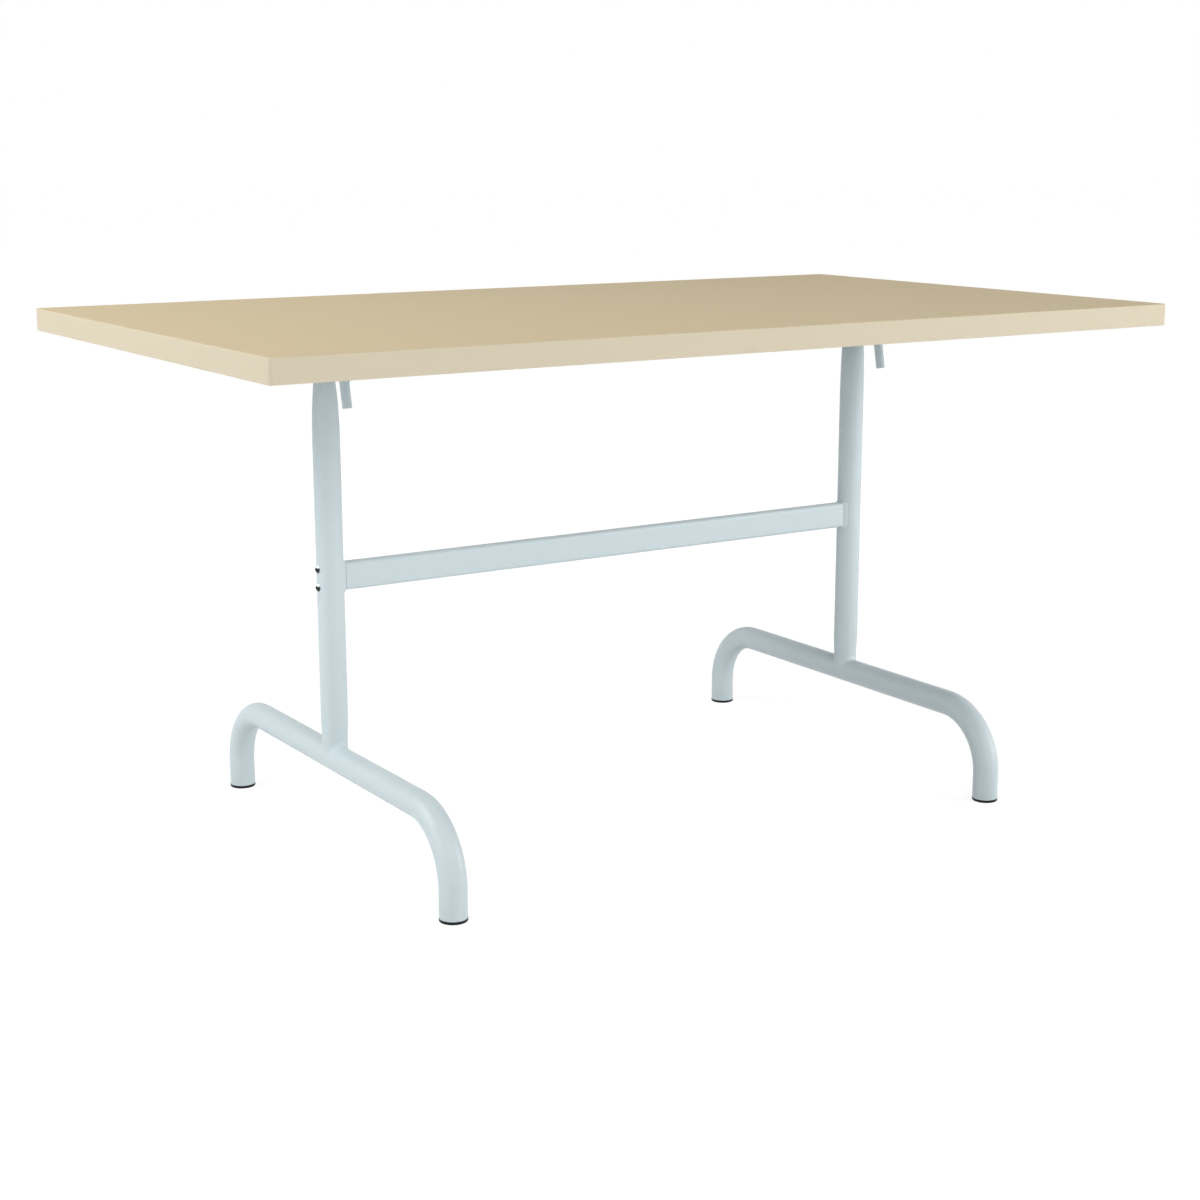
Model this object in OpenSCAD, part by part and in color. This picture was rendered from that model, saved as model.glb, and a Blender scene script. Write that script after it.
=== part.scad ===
// Tilt-top dining table: a moulded top hinged on two T-shaped tube stands that a crossbar joins.
// Two hook latches hold the top level. With both levers pulled, its front edge swings up and the
// top hangs upright behind the columns.
// Millimetres. X is along the top, Y runs from the front to the back, Z is up from the floor.
// The origin is on the floor, under the middle of the top.

/* [Tabletop] */
// Length of the tabletop, along X
top_l = 1400; // [1200:10:2000]
// Width of the tabletop, along Y
top_w = 800; // [740:10:1000]
// Thickness of the tabletop
top_t = 31; // [24:0.5:45]
// Height of the tabletop's upper face above the floor
table_h = 724; // [690:1:800]
// Radius of the tabletop's upright corners
top_corner_r = 5; // [3:0.5:20]
// Radius along the tabletop's upper edge
top_edge_r = 2; // [1:0.25:2.5]
// Thickness of the moulded shell's upper face
shell_t = 4; // [3:0.5:6]
// Thickness of the moulded shell's rim
shell_rim_t = 6; // [4:0.5:12]
// Thickness of the backing sheet under the core
backing_t = 3; // [2:0.5:5]

/* [Stand] */
// Outside diameter of the round tube
tube_d = 36.8; // [34:0.2:42]
// Wall of the round tube
tube_wall = 2; // [1.5:0.1:2.5]
// Distance between the two columns' axes, along X
column_spacing = 895; // [700:5:1100]
// Distance between the two feet of one stand, centre to centre
foot_spacing = 663; // [560:1:760]
// Height of the base tube's axis above the floor
base_h = 128.5; // [120:0.5:160]
// Radius of the base tube's bends, to its axis
bend_r = 88; // [70:1:100]
// Outside diameter of the column where it is welded to the base tube
column_foot_d = 34.6; // [30:0.2:36]
// Length over which the column narrows to that diameter
column_foot_len = 34; // [20:1:50]

/* [Column head] */
// Thickness of the squeezed head, along X
head_t = 20; // [20:0.5:26]
// Width of the squeezed head, along Y
head_w = 41; // [40:0.5:45]
// Length over which the round tube is squeezed to that section
squeeze_len = 100; // [70:1:130]
// How fast the squeeze starts: 1 is a straight taper, more starts gently
squeeze_power = 3; // [1.5:0.1:3.5]
// Length of flat head below the pivot
head_below = 20; // [13.5:0.5:22]
// Length of flat head above the pivot
head_above = 13.5; // [12:0.5:14]

/* [Crossbar] */
// Height of the crossbar's middle above the floor
bar_z = 381; // [300:1:450]
// Height of the crossbar's section
bar_h = 38; // [36:1:50]
// Depth of the crossbar's section, along Y
bar_d = 20; // [18:1:26]
// Radius of the crossbar's long edges
bar_r = 5; // [3:0.5:7]
// Wall of the crossbar
bar_wall = 2; // [1.5:0.1:2.5]
// How far the saddle's flange stands proud of the crossbar
saddle_lip = 3; // [2:0.5:4]
// Length over which the saddle's flange flares out from the crossbar, along X
saddle_flare = 7; // [3:0.5:9]
// Thickness of the saddle's flange at the column's nearest point
saddle_t = 4; // [3:0.5:8]
// Length of the saddle's plug inside the crossbar
plug_len = 25; // [15:1:40]

/* [Crossbar bolts] */
// Diameter of the bolts through the columns
bar_bolt_d = 6; // [5:0.5:6.5]
// Distance between the two bolts of one column
bar_bolt_pitch = 25; // [22:0.5:26]
// Diameter of their button heads
bar_bolt_head_d = 10.5; // [9.5:0.5:12]
// Height of their button heads
bar_bolt_head_h = 2.4; // [2:0.1:4]
// Thickness of the curved seat washer at its middle
seat_t = 0.5; // [0.5:0.1:1.5]

/* [Feet] */
// Height of the glide's flange below the tube
glide_h = 4; // [3:0.5:8]
// How much wider the glide's flange is than the tube
glide_lip = 0.4; // [0:0.1:3]
// Length of the glide's plug inside the tube
glide_plug = 22; // [15:1:30]

/* [Tilting hinge] */
// Depth of the pivot axis below the top's underside
pivot_drop = 30; // [29:0.5:34]
// Diameter of the pivot bolts
pivot_d = 10; // [8:0.5:10]
// Outside diameter of the pivot bushes
bush_d = 14; // [13:0.5:15]
// Thickness of the bush's flange
bush_flange_t = 2; // [1.5:0.5:4]
// Outside diameter of the bush's flange
bush_flange_d = 24; // [20:0.5:26]
// Thickness of the pivot washers
washer_t = 2; // [1.5:0.5:3]
// Outside diameter of the pivot washers
washer_d = 20; // [19:0.5:24]
// Height of the pivot bolt's hexagon head
hex_head_h = 6.4; // [5:0.2:8]
// Height of the lock nut
lock_nut_h = 10; // [8:0.5:12]
// Width across the flats of the head and the nut
hex_af = 16; // [15:0.5:17]

/* [Rails] */
// Length of the rails under the top
rail_l = 660; // [560:10:700]
// Thickness of the rails' sheet
rail_t = 3; // [2:0.5:3]
// Depth of the rails away from the hinge
rail_h = 16; // [14:0.5:17]
// Depth of the rails at their ends
rail_end_h = 6; // [5:0.5:8]
// Length of the part that keeps the full depth
rail_full_l = 400; // [300:10:480]
// Radius of the rail's ear around the pivot
ear_r = 16; // [14:0.5:18]
// Outer radius of the rail's folded edges
rail_bend_r = 4; // [3.5:0.5:5]
// Distance of the first rail screw from the pivot axis
screw_first = 100; // [100:5:140]
// Distance between rail screws
screw_pitch = 95; // [60:5:100]
// Number of rail screws in front of the pivot and behind it
screw_count = 3; // [1:1:3]

/* [Catch] */
// Distance of the catch pin in front of the pivot axis
catch_reach = 47; // [46:0.5:50]
// Diameter of the catch pin
catch_pin_d = 6; // [5:0.5:6]
// Thickness of the catch bracket's sheet
bracket_t = 3; // [2:0.5:4]
// Radius of the catch bracket around the pivot
bracket_r = 13; // [12:0.5:13]
// Radius of the catch bracket around the catch pin
bracket_tip_r = 7.5; // [6:0.5:8]
// Outside diameter of the stop sleeves on the catch pin's ends
stop_d = 9; // [8:0.5:10]
// Height of the riveted ends of the catch pin
rivet_h = 1.4; // [1:0.1:2]

/* [Latch] */
// Height of the latch's own pivot above the catch pin
latch_rise = 16; // [16:0.5:16.5]
// Diameter of the latch's pivot pin
latch_pin_d = 8; // [6:0.5:8]
// Outside diameter of the latch's hub
hub_d = 14; // [12:0.5:14]
// Radius of the hook plate around the hub
eye_r = 10; // [9:0.25:10]
// Thickness of the hook plate
hook_t = 6; // [5:0.5:8]
// Height of the hook's jaw
jaw_h = 5.3; // [4:0.1:5.5]
// Diameter of the lever rod
lever_d = 13; // [10:0.5:14]
// Lean of the lever rod from upright, its lower end forward
lever_lean = 11.4; // [5:0.1:20]
// Depth of the lever's upper end below the pivot axis
lever_top_drop = 10; // [9:0.5:12]
// Depth of the lever's lower end below the pivot axis
lever_end_drop = 47.5; // [30:0.1:80]
// Distance of the lever's upper end in front of the catch pin
lever_ahead = 12.4; // [12:0.2:14]

/* [Spring] */
// Diameter of the spring's wire
wire_d = 1.6; // [1.2:0.1:1.8]
// Free space between the spring's turns
coil_gap = 0.45; // [0.42:0.01:0.6]
// Whole turns of the spring
spring_coils = 2; // [1:1:2]

/* [Hidden] */
$fn = 96;

// Clearances: a part that turns on its pin, a part pushed into a hole, two faces that pass each other
run_clear = 0.05;
push_clear = 0.05;
side_clear = 0.1;
pin_clear = 0.2;

// Colours of the finishes
top_colour = "#d9c9a5";
frame_colour = "#c3d2d6";
steel_colour = "#b9bdc0";
black_colour = "#1c1c1e";
foam_colour = "#e8e2cf";
brass_colour = "#c9a84a";

column_x = column_spacing / 2;
tube_r = tube_d / 2;
under_z = table_h - top_t;
pivot_z = under_z - pivot_drop;
squeeze_z = pivot_z - head_below - squeeze_len;
rail_gap = head_t + 2 * (bracket_t + bush_flange_t + side_clear);
rail_w = rail_gap + 2 * rail_t;
boss_r = latch_rise - stop_d / 2 - side_clear;
web_z = pivot_drop - rail_t;
bar_l = column_spacing - 2 * (tube_r + saddle_t);
latch_z = latch_rise;
lever_len = (lever_end_drop - lever_top_drop) / cos(lever_lean);

// Each stand is drawn about its own pivot axis: x points away from the table's middle,
// y to the back and z up, and the left one is the mirror image of the right one.
module on_side(side) {
    translate([side * column_x, 0, pivot_z])
        mirror([side < 0 ? 1 : 0, 0, 0])
            children();
}

// A sheet across X from x0, drawn by its outline in Y and Z
module sheet_x(x0, t) {
    translate([x0, 0, 0])
        rotate([90, 0, 90])
            linear_extrude(t)
                children();
}

// A round bar along X
module bar_x(x0, x1, d) {
    translate([x0, 0, 0])
        rotate([0, 90, 0])
            cylinder(d = d, h = x1 - x0);
}

// Outline of two round ends joined by their common tangents. The straight sides lie a hair
// inside the tangents, so that they cross the circles cleanly.
module link_2d(p, r, q, s) {
    hair = 0.03;
    along = atan2(q[1] - p[1], q[0] - p[0]);
    open = acos((r - s) / norm(q - p));
    translate(p)
        circle(r);
    translate(q)
        circle(s);
    polygon([
        for (turn = [open, -open]) p + (r - hair) * [cos(along + turn), sin(along + turn)],
        for (turn = [-open, open]) q + (s - hair) * [cos(along + turn), sin(along + turn)]
    ]);
}

// Rectangle about the origin with round corners
module round_rect_2d(l, w, r) {
    square([l - 2 * r, w], center = true);
    square([l, w - 2 * r], center = true);
    for (x = [-1, 1])
        for (y = [-1, 1])
            translate([x * (l / 2 - r), y * (w / 2 - r)])
                circle(r);
}

// Cross-section of the top's edge, outwards from the axis of its upright corner
module edge_section_2d() {
    square([top_corner_r - top_edge_r, top_t]);
    square([top_corner_r, top_t - top_edge_r]);
    translate([top_corner_r - top_edge_r, top_t - top_edge_r])
        circle(top_edge_r);
}

// The top's outer form: round upright corners and a rounded upper edge all the way round
module top_form() {
    straight_l = top_l - 2 * top_corner_r;
    straight_w = top_w - 2 * top_corner_r;
    translate([-straight_l / 2, -straight_w / 2, 0])
        cube([straight_l, straight_w, top_t]);
    for (side = [0, 1]) {
        mirror([side, 0, 0])
            translate([straight_l / 2, straight_w / 2, 0])
                rotate([90, 0, 0])
                    linear_extrude(straight_w)
                        edge_section_2d();
        mirror([0, side, 0])
            translate([-straight_l / 2, straight_w / 2, 0])
                rotate([90, 0, 90])
                    linear_extrude(straight_l)
                        edge_section_2d();
    }
    for (x = [0, 1])
        for (y = [0, 1])
            mirror([x, 0, 0])
                mirror([0, y, 0])
                    translate([straight_l / 2, straight_w / 2, 0])
                        rotate_extrude(angle = 90)
                            edge_section_2d();
}

module top_filling(z0, z1, gap) {
    translate([0, 0, z0])
        linear_extrude(z1 - z0)
            round_rect_2d(
                top_l - 2 * (shell_rim_t + gap), top_w - 2 * (shell_rim_t + gap), top_corner_r
            );
}

module tabletop_shell() {
    color(top_colour)
        difference() {
            translate([0, 0, under_z])
                top_form();
            top_filling(under_z - 1, table_h - shell_t, 0);
        }
}

module tabletop_core() {
    color(foam_colour)
        difference() {
            top_filling(under_z + backing_t, table_h - shell_t, push_clear);
            insert_holes();
        }
}

module tabletop_backing() {
    color(top_colour)
        difference() {
            top_filling(under_z, under_z + backing_t, push_clear);
            insert_holes();
        }
}

// Threaded inserts and the screws that hold the rails
insert_d = 10;
insert_len = 14;
screw_d = 6;
screw_len = 14;
screw_head_d = 12;
screw_head_h = 3.4;
screw_hole_d = 6.6;
screw_y = [for (i = [0 : screw_count - 1]) screw_first + i * screw_pitch];

module at_screws() {
    for (side = [-1, 1])
        on_side(side)
            for (y = screw_y)
                for (half = [-1, 1])
                    translate([0, half * y, 0])
                        children();
}

module insert_holes() {
    at_screws()
        translate([0, 0, pivot_drop - 1])
            cylinder(d = insert_d + 2 * push_clear, h = insert_len + 1);
}

module threaded_inserts() {
    color(brass_colour)
        at_screws()
            translate([0, 0, pivot_drop])
                difference() {
                    cylinder(d = insert_d, h = insert_len);
                    translate([0, 0, -1])
                        cylinder(d = screw_d + 2 * run_clear, h = insert_len + 2);
                }
}

// A button head with a hexagon socket, its seat at z = 0, pointing up
module button_head(d, h, socket) {
    dome_r = (h * h + d * d / 4) / (2 * h);
    difference() {
        rotate_extrude()
            intersection() {
                translate([0, h - dome_r])
                    circle(dome_r);
                square([d / 2, h]);
            }
        translate([0, 0, h * 0.4])
            cylinder(d = socket, h = h, $fn = 6);
    }
}

module rail_screws() {
    color(steel_colour)
        at_screws() {
            translate([0, 0, web_z])
                cylinder(d = screw_d, h = screw_len);
            translate([0, 0, web_z])
                mirror([0, 0, 1])
                    button_head(screw_head_d, screw_head_h, screw_d * 0.7);
        }
}

// Cross-section of the folded rail, in X and Z, as deep as its ears
module rail_section_2d(w, top, r) {
    translate([-w / 2, -ear_r])
        square([w, top + ear_r - r]);
    translate([-w / 2 + r, top - r])
        square([w - 2 * r, r]);
    for (x = [-1, 1])
        translate([x * (w / 2 - r), top - r])
            circle(r);
}

// Side view of the rail: tapered ends, an ear at the pivot, and a boss at the latch pin whose
// lower edge rests on the catch pin's sleeves when the top is level
module rail_outline_2d() {
    polygon([
        [-rail_l / 2, pivot_drop], [-rail_l / 2, pivot_drop - rail_end_h],
        [-rail_full_l / 2, pivot_drop - rail_h], [rail_full_l / 2, pivot_drop - rail_h],
        [rail_l / 2, pivot_drop - rail_end_h], [rail_l / 2, pivot_drop]
    ]);
    link_2d([0, 0], ear_r, [0, pivot_drop - rail_h], ear_r + 10);
    link_2d([-catch_reach, latch_z], boss_r, [-catch_reach, pivot_drop - 4], boss_r + 5);
}

module rail() {
    difference() {
        intersection() {
            translate([0, rail_l / 2, 0])
                rotate([90, 0, 0])
                    linear_extrude(rail_l)
                        difference() {
                            rail_section_2d(rail_w, pivot_drop, rail_bend_r);
                            translate([0, -1])
                                rail_section_2d(rail_gap, web_z + 1, rail_bend_r - rail_t);
                        }
            sheet_x(-rail_w, 2 * rail_w)
                rail_outline_2d();
        }
        bar_x(-rail_w, rail_w, pivot_d + 0.4);
        translate([0, -catch_reach, latch_z])
            bar_x(-rail_w, rail_w, latch_pin_d + 2 * run_clear);
        for (y = screw_y)
            for (half = [-1, 1])
                translate([0, half * y, web_z - 1])
                    cylinder(d = screw_hole_d, h = rail_t + 2);
    }
}

module left_rail() {
    color(frame_colour)
        on_side(-1)
            rail();
}

module right_rail() {
    color(frame_colour)
        on_side(1)
            rail();
}

// The bent base tube's form: two legs, two bends and the straight top, ends open at z0
module base_form(r, z0) {
    straight = foot_spacing - 2 * bend_r;
    translate([0, straight / 2, base_h])
        rotate([90, 0, 0])
            cylinder(r = r, h = straight);
    for (back = [0, 1])
        mirror([0, back, 0])
            translate([0, -straight / 2, base_h - bend_r]) {
                rotate([90, 0, -90])
                    rotate_extrude(angle = 90)
                        translate([bend_r, 0])
                            circle(r);
                translate([0, -bend_r, z0 - base_h + bend_r])
                    cylinder(r = r, h = base_h - bend_r - z0);
            }
}

module base_tube(side) {
    color(frame_colour)
        translate([side * column_x, 0, 0])
            difference() {
                base_form(tube_r, glide_h);
                base_form(tube_r - tube_wall, glide_h - 1);
            }
}

module left_base_tube() {
    base_tube(-1);
}

module right_base_tube() {
    base_tube(1);
}

// Squeezed head of the column, lofted from round to flat-sided.
// inset is 0 for the outside and the wall for the inside.
head_sides = 48;
head_steps = 10;
loft_step = 0.15;

function squeeze(u) = pow(u, squeeze_power);

// One ring: two half circles of radius a along X, pulled apart to the half width b along Y
function head_ring(a, b, z) = [
    for (i = [0 : head_sides - 1])
        let (turn = (i + 0.5) * 360 / head_sides)
            [a * cos(turn), a * sin(turn) + (b - a) * sign(sin(turn)), z]
];

function head_ring_at(u, inset, z) = head_ring(
    tube_r - loft_step - inset + (head_t / 2 - tube_r + loft_step) * squeeze(u),
    tube_r - loft_step - inset + (head_w / 2 - tube_r + loft_step) * squeeze(u),
    z
);

module head_loft(inset, over) {
    steps = [for (i = [0 : head_steps]) i / head_steps];
    rings = concat(
        [head_ring_at(0, inset, squeeze_z - 1)],
        [for (u = steps) head_ring_at(u, inset, squeeze_z + u * squeeze_len)],
        [head_ring_at(1, inset, pivot_z + head_above + over)]
    );
    last = len(rings) - 1;
    polyhedron(
        points = [for (ring = rings) for (p = ring) p],
        faces = concat(
            [[for (i = [0 : head_sides - 1]) i]],
            [
                for (k = [0 : last - 1])
                    for (i = [0 : head_sides - 1])
                        let (j = (i + 1) % head_sides)
                            for (tri = [
                                [k * head_sides + i, (k + 1) * head_sides + i, (k + 1) * head_sides + j],
                                [k * head_sides + i, (k + 1) * head_sides + j, k * head_sides + j]
                            ]) tri
            ],
            [[for (i = [head_sides - 1 : -1 : 0]) last * head_sides + i]]
        )
    );
}

// The column's form: narrowed foot, round shaft and squeezed head
module column_form(inset, over) {
    foot_r = column_foot_d / 2 - inset;
    shaft_z = base_h + tube_r + column_foot_len;
    translate([0, 0, base_h])
        cylinder(r = foot_r, h = tube_r);
    translate([0, 0, base_h + tube_r])
        cylinder(r1 = foot_r, r2 = tube_r - inset, h = column_foot_len);
    translate([0, 0, shaft_z])
        cylinder(r = tube_r - inset, h = squeeze_z - shaft_z);
    head_loft(inset, over);
}

module column(side) {
    color(frame_colour)
        translate([side * column_x, 0, 0])
            difference() {
                column_form(0, 0);
                column_form(tube_wall, 1);
                translate([0, foot_spacing / 2, base_h])
                    rotate([90, 0, 0])
                        cylinder(r = tube_r, h = foot_spacing);
                for (z = [-1, 1])
                    translate([0, 0, bar_z + z * bar_bolt_pitch / 2])
                        bar_x(-tube_d, tube_d, bar_bolt_d + 0.4);
                translate([0, 0, pivot_z])
                    bar_x(-tube_d, tube_d, bush_d + 2 * push_clear);
            }
}

module left_column() {
    column(-1);
}

module right_column() {
    column(1);
}

module crossbar() {
    color(frame_colour)
        translate([-bar_l / 2, 0, bar_z])
            rotate([90, 0, 90])
                linear_extrude(bar_l)
                    difference() {
                        round_rect_2d(bar_d, bar_h, bar_r);
                        round_rect_2d(bar_d - 2 * bar_wall, bar_h - 2 * bar_wall, bar_r - bar_wall);
                    }
}

// The saddle: a flared flange that follows the column's curve, and a plug inside the crossbar.
// Local x is 0 at the column's axis and points away from the table's middle.
module saddle() {
    seat_x = -tube_r - saddle_t;
    flange_h = bar_h + 2 * saddle_lip;
    flange_d = bar_d + 2 * saddle_lip;
    plug_h = bar_h - 2 * (bar_wall + push_clear);
    plug_d = bar_d - 2 * (bar_wall + push_clear);
    difference() {
        union() {
            intersection() {
                sheet_x(seat_x, tube_r)
                    round_rect_2d(flange_d, flange_h, bar_r + saddle_lip);
                rotate([90, 0, 0])
                    translate([0, 0, -tube_d])
                        linear_extrude(2 * tube_d)
                            flare_2d(seat_x, bar_h / 2);
                translate([0, 0, -flange_h])
                    linear_extrude(2 * flange_h)
                        flare_2d(seat_x, bar_d / 2);
            }
            sheet_x(seat_x - plug_len, plug_len)
                round_rect_2d(plug_d, plug_h, bar_r - bar_wall);
        }
        translate([0, 0, -flange_h])
            cylinder(r = tube_r, h = 2 * flange_h);
        for (z = [-1, 1])
            translate([0, 0, z * bar_bolt_pitch / 2])
                bar_x(seat_x - plug_len - 1, 0, bar_bolt_d + 2 * run_clear);
    }
}

// A side view that flares by the lip from the crossbar's edge, gently at first and steeply at last
module flare_2d(x0, half) {
    upper = [
        for (turn = [0 : 15 : 90])
            [x0 + saddle_flare * sin(turn), half + saddle_lip * (1 - cos(turn))]
    ];
    polygon(concat(
        upper,
        [[0, half + saddle_lip], [0, -half - saddle_lip]],
        [for (i = [len(upper) - 1 : -1 : 0]) [upper[i][0], -upper[i][1]]]
    ));
}

module crossbar_saddle(side) {
    color(frame_colour)
        translate([0, 0, bar_z - pivot_z])
            on_side(side)
                saddle();
}

module left_crossbar_saddle() {
    crossbar_saddle(-1);
}

module right_crossbar_saddle() {
    crossbar_saddle(1);
}

module at_bar_bolts() {
    for (side = [-1, 1])
        for (z = [-1, 1])
            translate([0, 0, bar_z - pivot_z + z * bar_bolt_pitch / 2])
                on_side(side)
                    children();
}

module crossbar_bolts() {
    bolt_len = tube_d + seat_t + saddle_t + plug_len - 2;
    color(steel_colour)
        at_bar_bolts() {
            bar_x(tube_r + seat_t - bolt_len, tube_r + seat_t, bar_bolt_d);
            translate([tube_r + seat_t, 0, 0])
                rotate([0, 90, 0])
                    button_head(bar_bolt_head_d, bar_bolt_head_h, bar_bolt_d * 0.7);
        }
}

module bolt_seat_washers() {
    color(steel_colour)
        at_bar_bolts()
            difference() {
                bar_x(tube_r * 0.8, tube_r + seat_t, bar_bolt_head_d);
                translate([0, 0, -bar_bolt_head_d])
                    cylinder(r = tube_r, h = 2 * bar_bolt_head_d, $fn = 720);
                bar_x(0, tube_d, bar_bolt_d + 0.4);
            }
}

// A glide: a chamfered flange under the tube's end and a ribbed plug inside it
module glide(x, y) {
    flange_r = (tube_d + glide_lip) / 2;
    plug_r = tube_r - tube_wall - push_clear;
    rib_depth = 1.5;
    rib_h = 2;
    chamfer = 1;
    color(black_colour)
        translate([x * column_x, y * foot_spacing / 2, 0])
            rotate_extrude() {
                polygon([
                    [0, 0], [flange_r - chamfer, 0], [flange_r, chamfer], [flange_r, glide_h], [0, glide_h]
                ]);
                square([plug_r - rib_depth, glide_h + glide_plug]);
                for (i = [0 : 3])
                    translate([0, glide_h + i * (glide_plug - rib_h) / 3])
                        square([plug_r, rib_h]);
            }
}

module front_left_glide() {
    glide(-1, -1);
}

module back_left_glide() {
    glide(-1, 1);
}

module front_right_glide() {
    glide(1, -1);
}

module back_right_glide() {
    glide(1, 1);
}

// The catch bracket: two cheeks against the head's flat sides and a bridge in front of the head
module catch_bracket() {
    bridge_h = 2 * bracket_tip_r;
    difference() {
        union() {
            for (x = [-head_t / 2 - bracket_t, head_t / 2])
                sheet_x(x, bracket_t)
                    link_2d([0, 0], bracket_r, [-catch_reach, 0], bracket_tip_r);
            translate([-head_t / 2, -head_w / 2 - pin_clear - bracket_t, -bridge_h / 2])
                cube([head_t, bracket_t, bridge_h]);
        }
        bar_x(-rail_w, rail_w, bush_d + 2 * push_clear);
        translate([0, -catch_reach, 0])
            bar_x(-rail_w, rail_w, catch_pin_d + 2 * push_clear);
    }
}

module left_catch_bracket() {
    color(frame_colour)
        on_side(-1)
            catch_bracket();
}

module right_catch_bracket() {
    color(frame_colour)
        on_side(1)
            catch_bracket();
}

// The catch pin passes under both rail flanges and has a flat rivet head at each end
module catch_pin() {
    reach = rail_w / 2 + side_clear;
    head_d = catch_pin_d + 2;
    translate([0, -catch_reach, 0]) {
        bar_x(-reach, reach, catch_pin_d);
        for (side = [0, 1])
            mirror([side, 0, 0])
                translate([reach, 0, 0])
                    rotate([0, 90, 0])
                        cylinder(d1 = head_d, d2 = head_d - 1, h = rivet_h);
    }
}

module left_catch_pin() {
    color(steel_colour)
        on_side(-1)
            catch_pin();
}

module right_catch_pin() {
    color(steel_colour)
        on_side(1)
            catch_pin();
}

// The two sleeves on the catch pin's ends that the rail's bosses rest on when the top is level
module stop_sleeves() {
    cheek_x = head_t / 2 + bracket_t;
    translate([0, -catch_reach, 0])
        for (side = [0, 1])
            mirror([side, 0, 0])
                difference() {
                    bar_x(cheek_x + side_clear, rail_w / 2, stop_d);
                    bar_x(cheek_x, rail_w, catch_pin_d + 2 * push_clear);
                }
}

module left_stop_sleeves() {
    color(black_colour)
        on_side(-1)
            stop_sleeves();
}

module right_stop_sleeves() {
    color(black_colour)
        on_side(1)
            stop_sleeves();
}

// The rubber pad on the rail's web that meets the back of the column when the top hangs upright
fold_pad_y = 68;
fold_pad_l = 24;
fold_pad_w = 16;
fold_gap = 0.3;

module fold_buffer() {
    u = (squeeze_len + head_below - fold_pad_y + fold_pad_l / 2) / squeeze_len;
    column_b = tube_r + (head_w / 2 - tube_r) * squeeze(min(u, 1));
    pad_t = web_z - column_b - fold_gap;
    translate([0, fold_pad_y, web_z - pad_t])
        linear_extrude(pad_t)
            round_rect_2d(fold_pad_w, fold_pad_l, 3);
}

module left_fold_buffer() {
    color(black_colour)
        on_side(-1)
            fold_buffer();
}

module right_fold_buffer() {
    color(black_colour)
        on_side(1)
            fold_buffer();
}

// Two flanged bushes, pushed through the cheeks into the head from both sides
module pivot_bushes() {
    face_x = head_t / 2 + bracket_t;
    end_x = 0.5;
    for (side = [0, 1])
        mirror([side, 0, 0])
            difference() {
                union() {
                    bar_x(end_x, face_x, bush_d);
                    bar_x(face_x, face_x + bush_flange_t, bush_flange_d);
                }
                bar_x(0, face_x + bush_flange_t + 1, pivot_d + 2 * run_clear);
            }
}

module left_pivot_bushes() {
    color(black_colour)
        on_side(-1)
            pivot_bushes();
}

module right_pivot_bushes() {
    color(black_colour)
        on_side(1)
            pivot_bushes();
}

// A hexagon prism along X with its corners turned off at the outer end
module hex_x(x0, h) {
    corner_d = hex_af / cos(30);
    chamfer = hex_af * 0.07;
    translate([x0, 0, 0])
        rotate([0, 90, 0])
            intersection() {
                cylinder(d = corner_d, h = h, $fn = 6);
                union() {
                    cylinder(d = corner_d + 1, h = h - chamfer);
                    translate([0, 0, h - chamfer])
                        cylinder(d1 = corner_d, d2 = hex_af * 0.95, h = chamfer);
                }
            }
}

module pivot_bolt() {
    seat_x = rail_w / 2 + washer_t;
    end_x = seat_x + lock_nut_h + 2;
    bar_x(-end_x, seat_x, pivot_d);
    hex_x(seat_x, hex_head_h);
}

module left_pivot_bolt() {
    color(steel_colour)
        on_side(-1)
            pivot_bolt();
}

module right_pivot_bolt() {
    color(steel_colour)
        on_side(1)
            pivot_bolt();
}

module pivot_washers() {
    color(steel_colour)
        for (side = [-1, 1])
            on_side(side)
                for (x = [-rail_w / 2 - washer_t, rail_w / 2])
                    difference() {
                        bar_x(x, x + washer_t, washer_d);
                        bar_x(x - 1, x + washer_t + 1, pivot_d + 0.4);
                    }
}

module pivot_lock_nuts() {
    seat_x = rail_w / 2 + washer_t;
    color(steel_colour)
        for (side = [-1, 1])
            on_side(side)
                mirror([1, 0, 0])
                    difference() {
                        hex_x(seat_x, lock_nut_h);
                        bar_x(0, seat_x + 2 * lock_nut_h, pivot_d + 2 * run_clear);
                    }
}

// The latch's pivot pin, with a head outside and a clip in its groove inside
clip_t = 1;
clip_gap = 0.2;
groove_d = latch_pin_d - 2;

module at_latch() {
    translate([0, -catch_reach, latch_z])
        children();
}

module latch_pin() {
    head_h = 2.5;
    tail_x = rail_w / 2 + clip_gap + clip_t;
    at_latch() {
        bar_x(-rail_w / 2 - clip_gap, rail_w / 2, latch_pin_d);
        bar_x(-tail_x, 0, groove_d);
        bar_x(-tail_x - clip_t, -tail_x, latch_pin_d);
        translate([rail_w / 2, 0, 0])
            rotate([0, 90, 0])
                rotate_extrude()
                    intersection() {
                        square([latch_pin_d * 0.75, head_h]);
                        translate([0, -latch_pin_d])
                            circle(latch_pin_d + head_h);
                    }
    }
}

module left_latch_pin() {
    color(steel_colour)
        on_side(-1)
            latch_pin();
}

module right_latch_pin() {
    color(steel_colour)
        on_side(1)
            latch_pin();
}

// An open clip that grips the pin's groove, its slot to the front
module latch_pin_clips() {
    color(steel_colour)
        for (side = [-1, 1])
            on_side(side)
                at_latch()
                    sheet_x(-rail_w / 2 - clip_gap - clip_t, clip_t)
                        difference() {
                            circle(d = latch_pin_d * 1.9);
                            circle(d = groove_d + 2 * push_clear);
                            translate([-latch_pin_d, 0])
                                square([2 * latch_pin_d, groove_d * 0.8], center = true);
                        }
}

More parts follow.
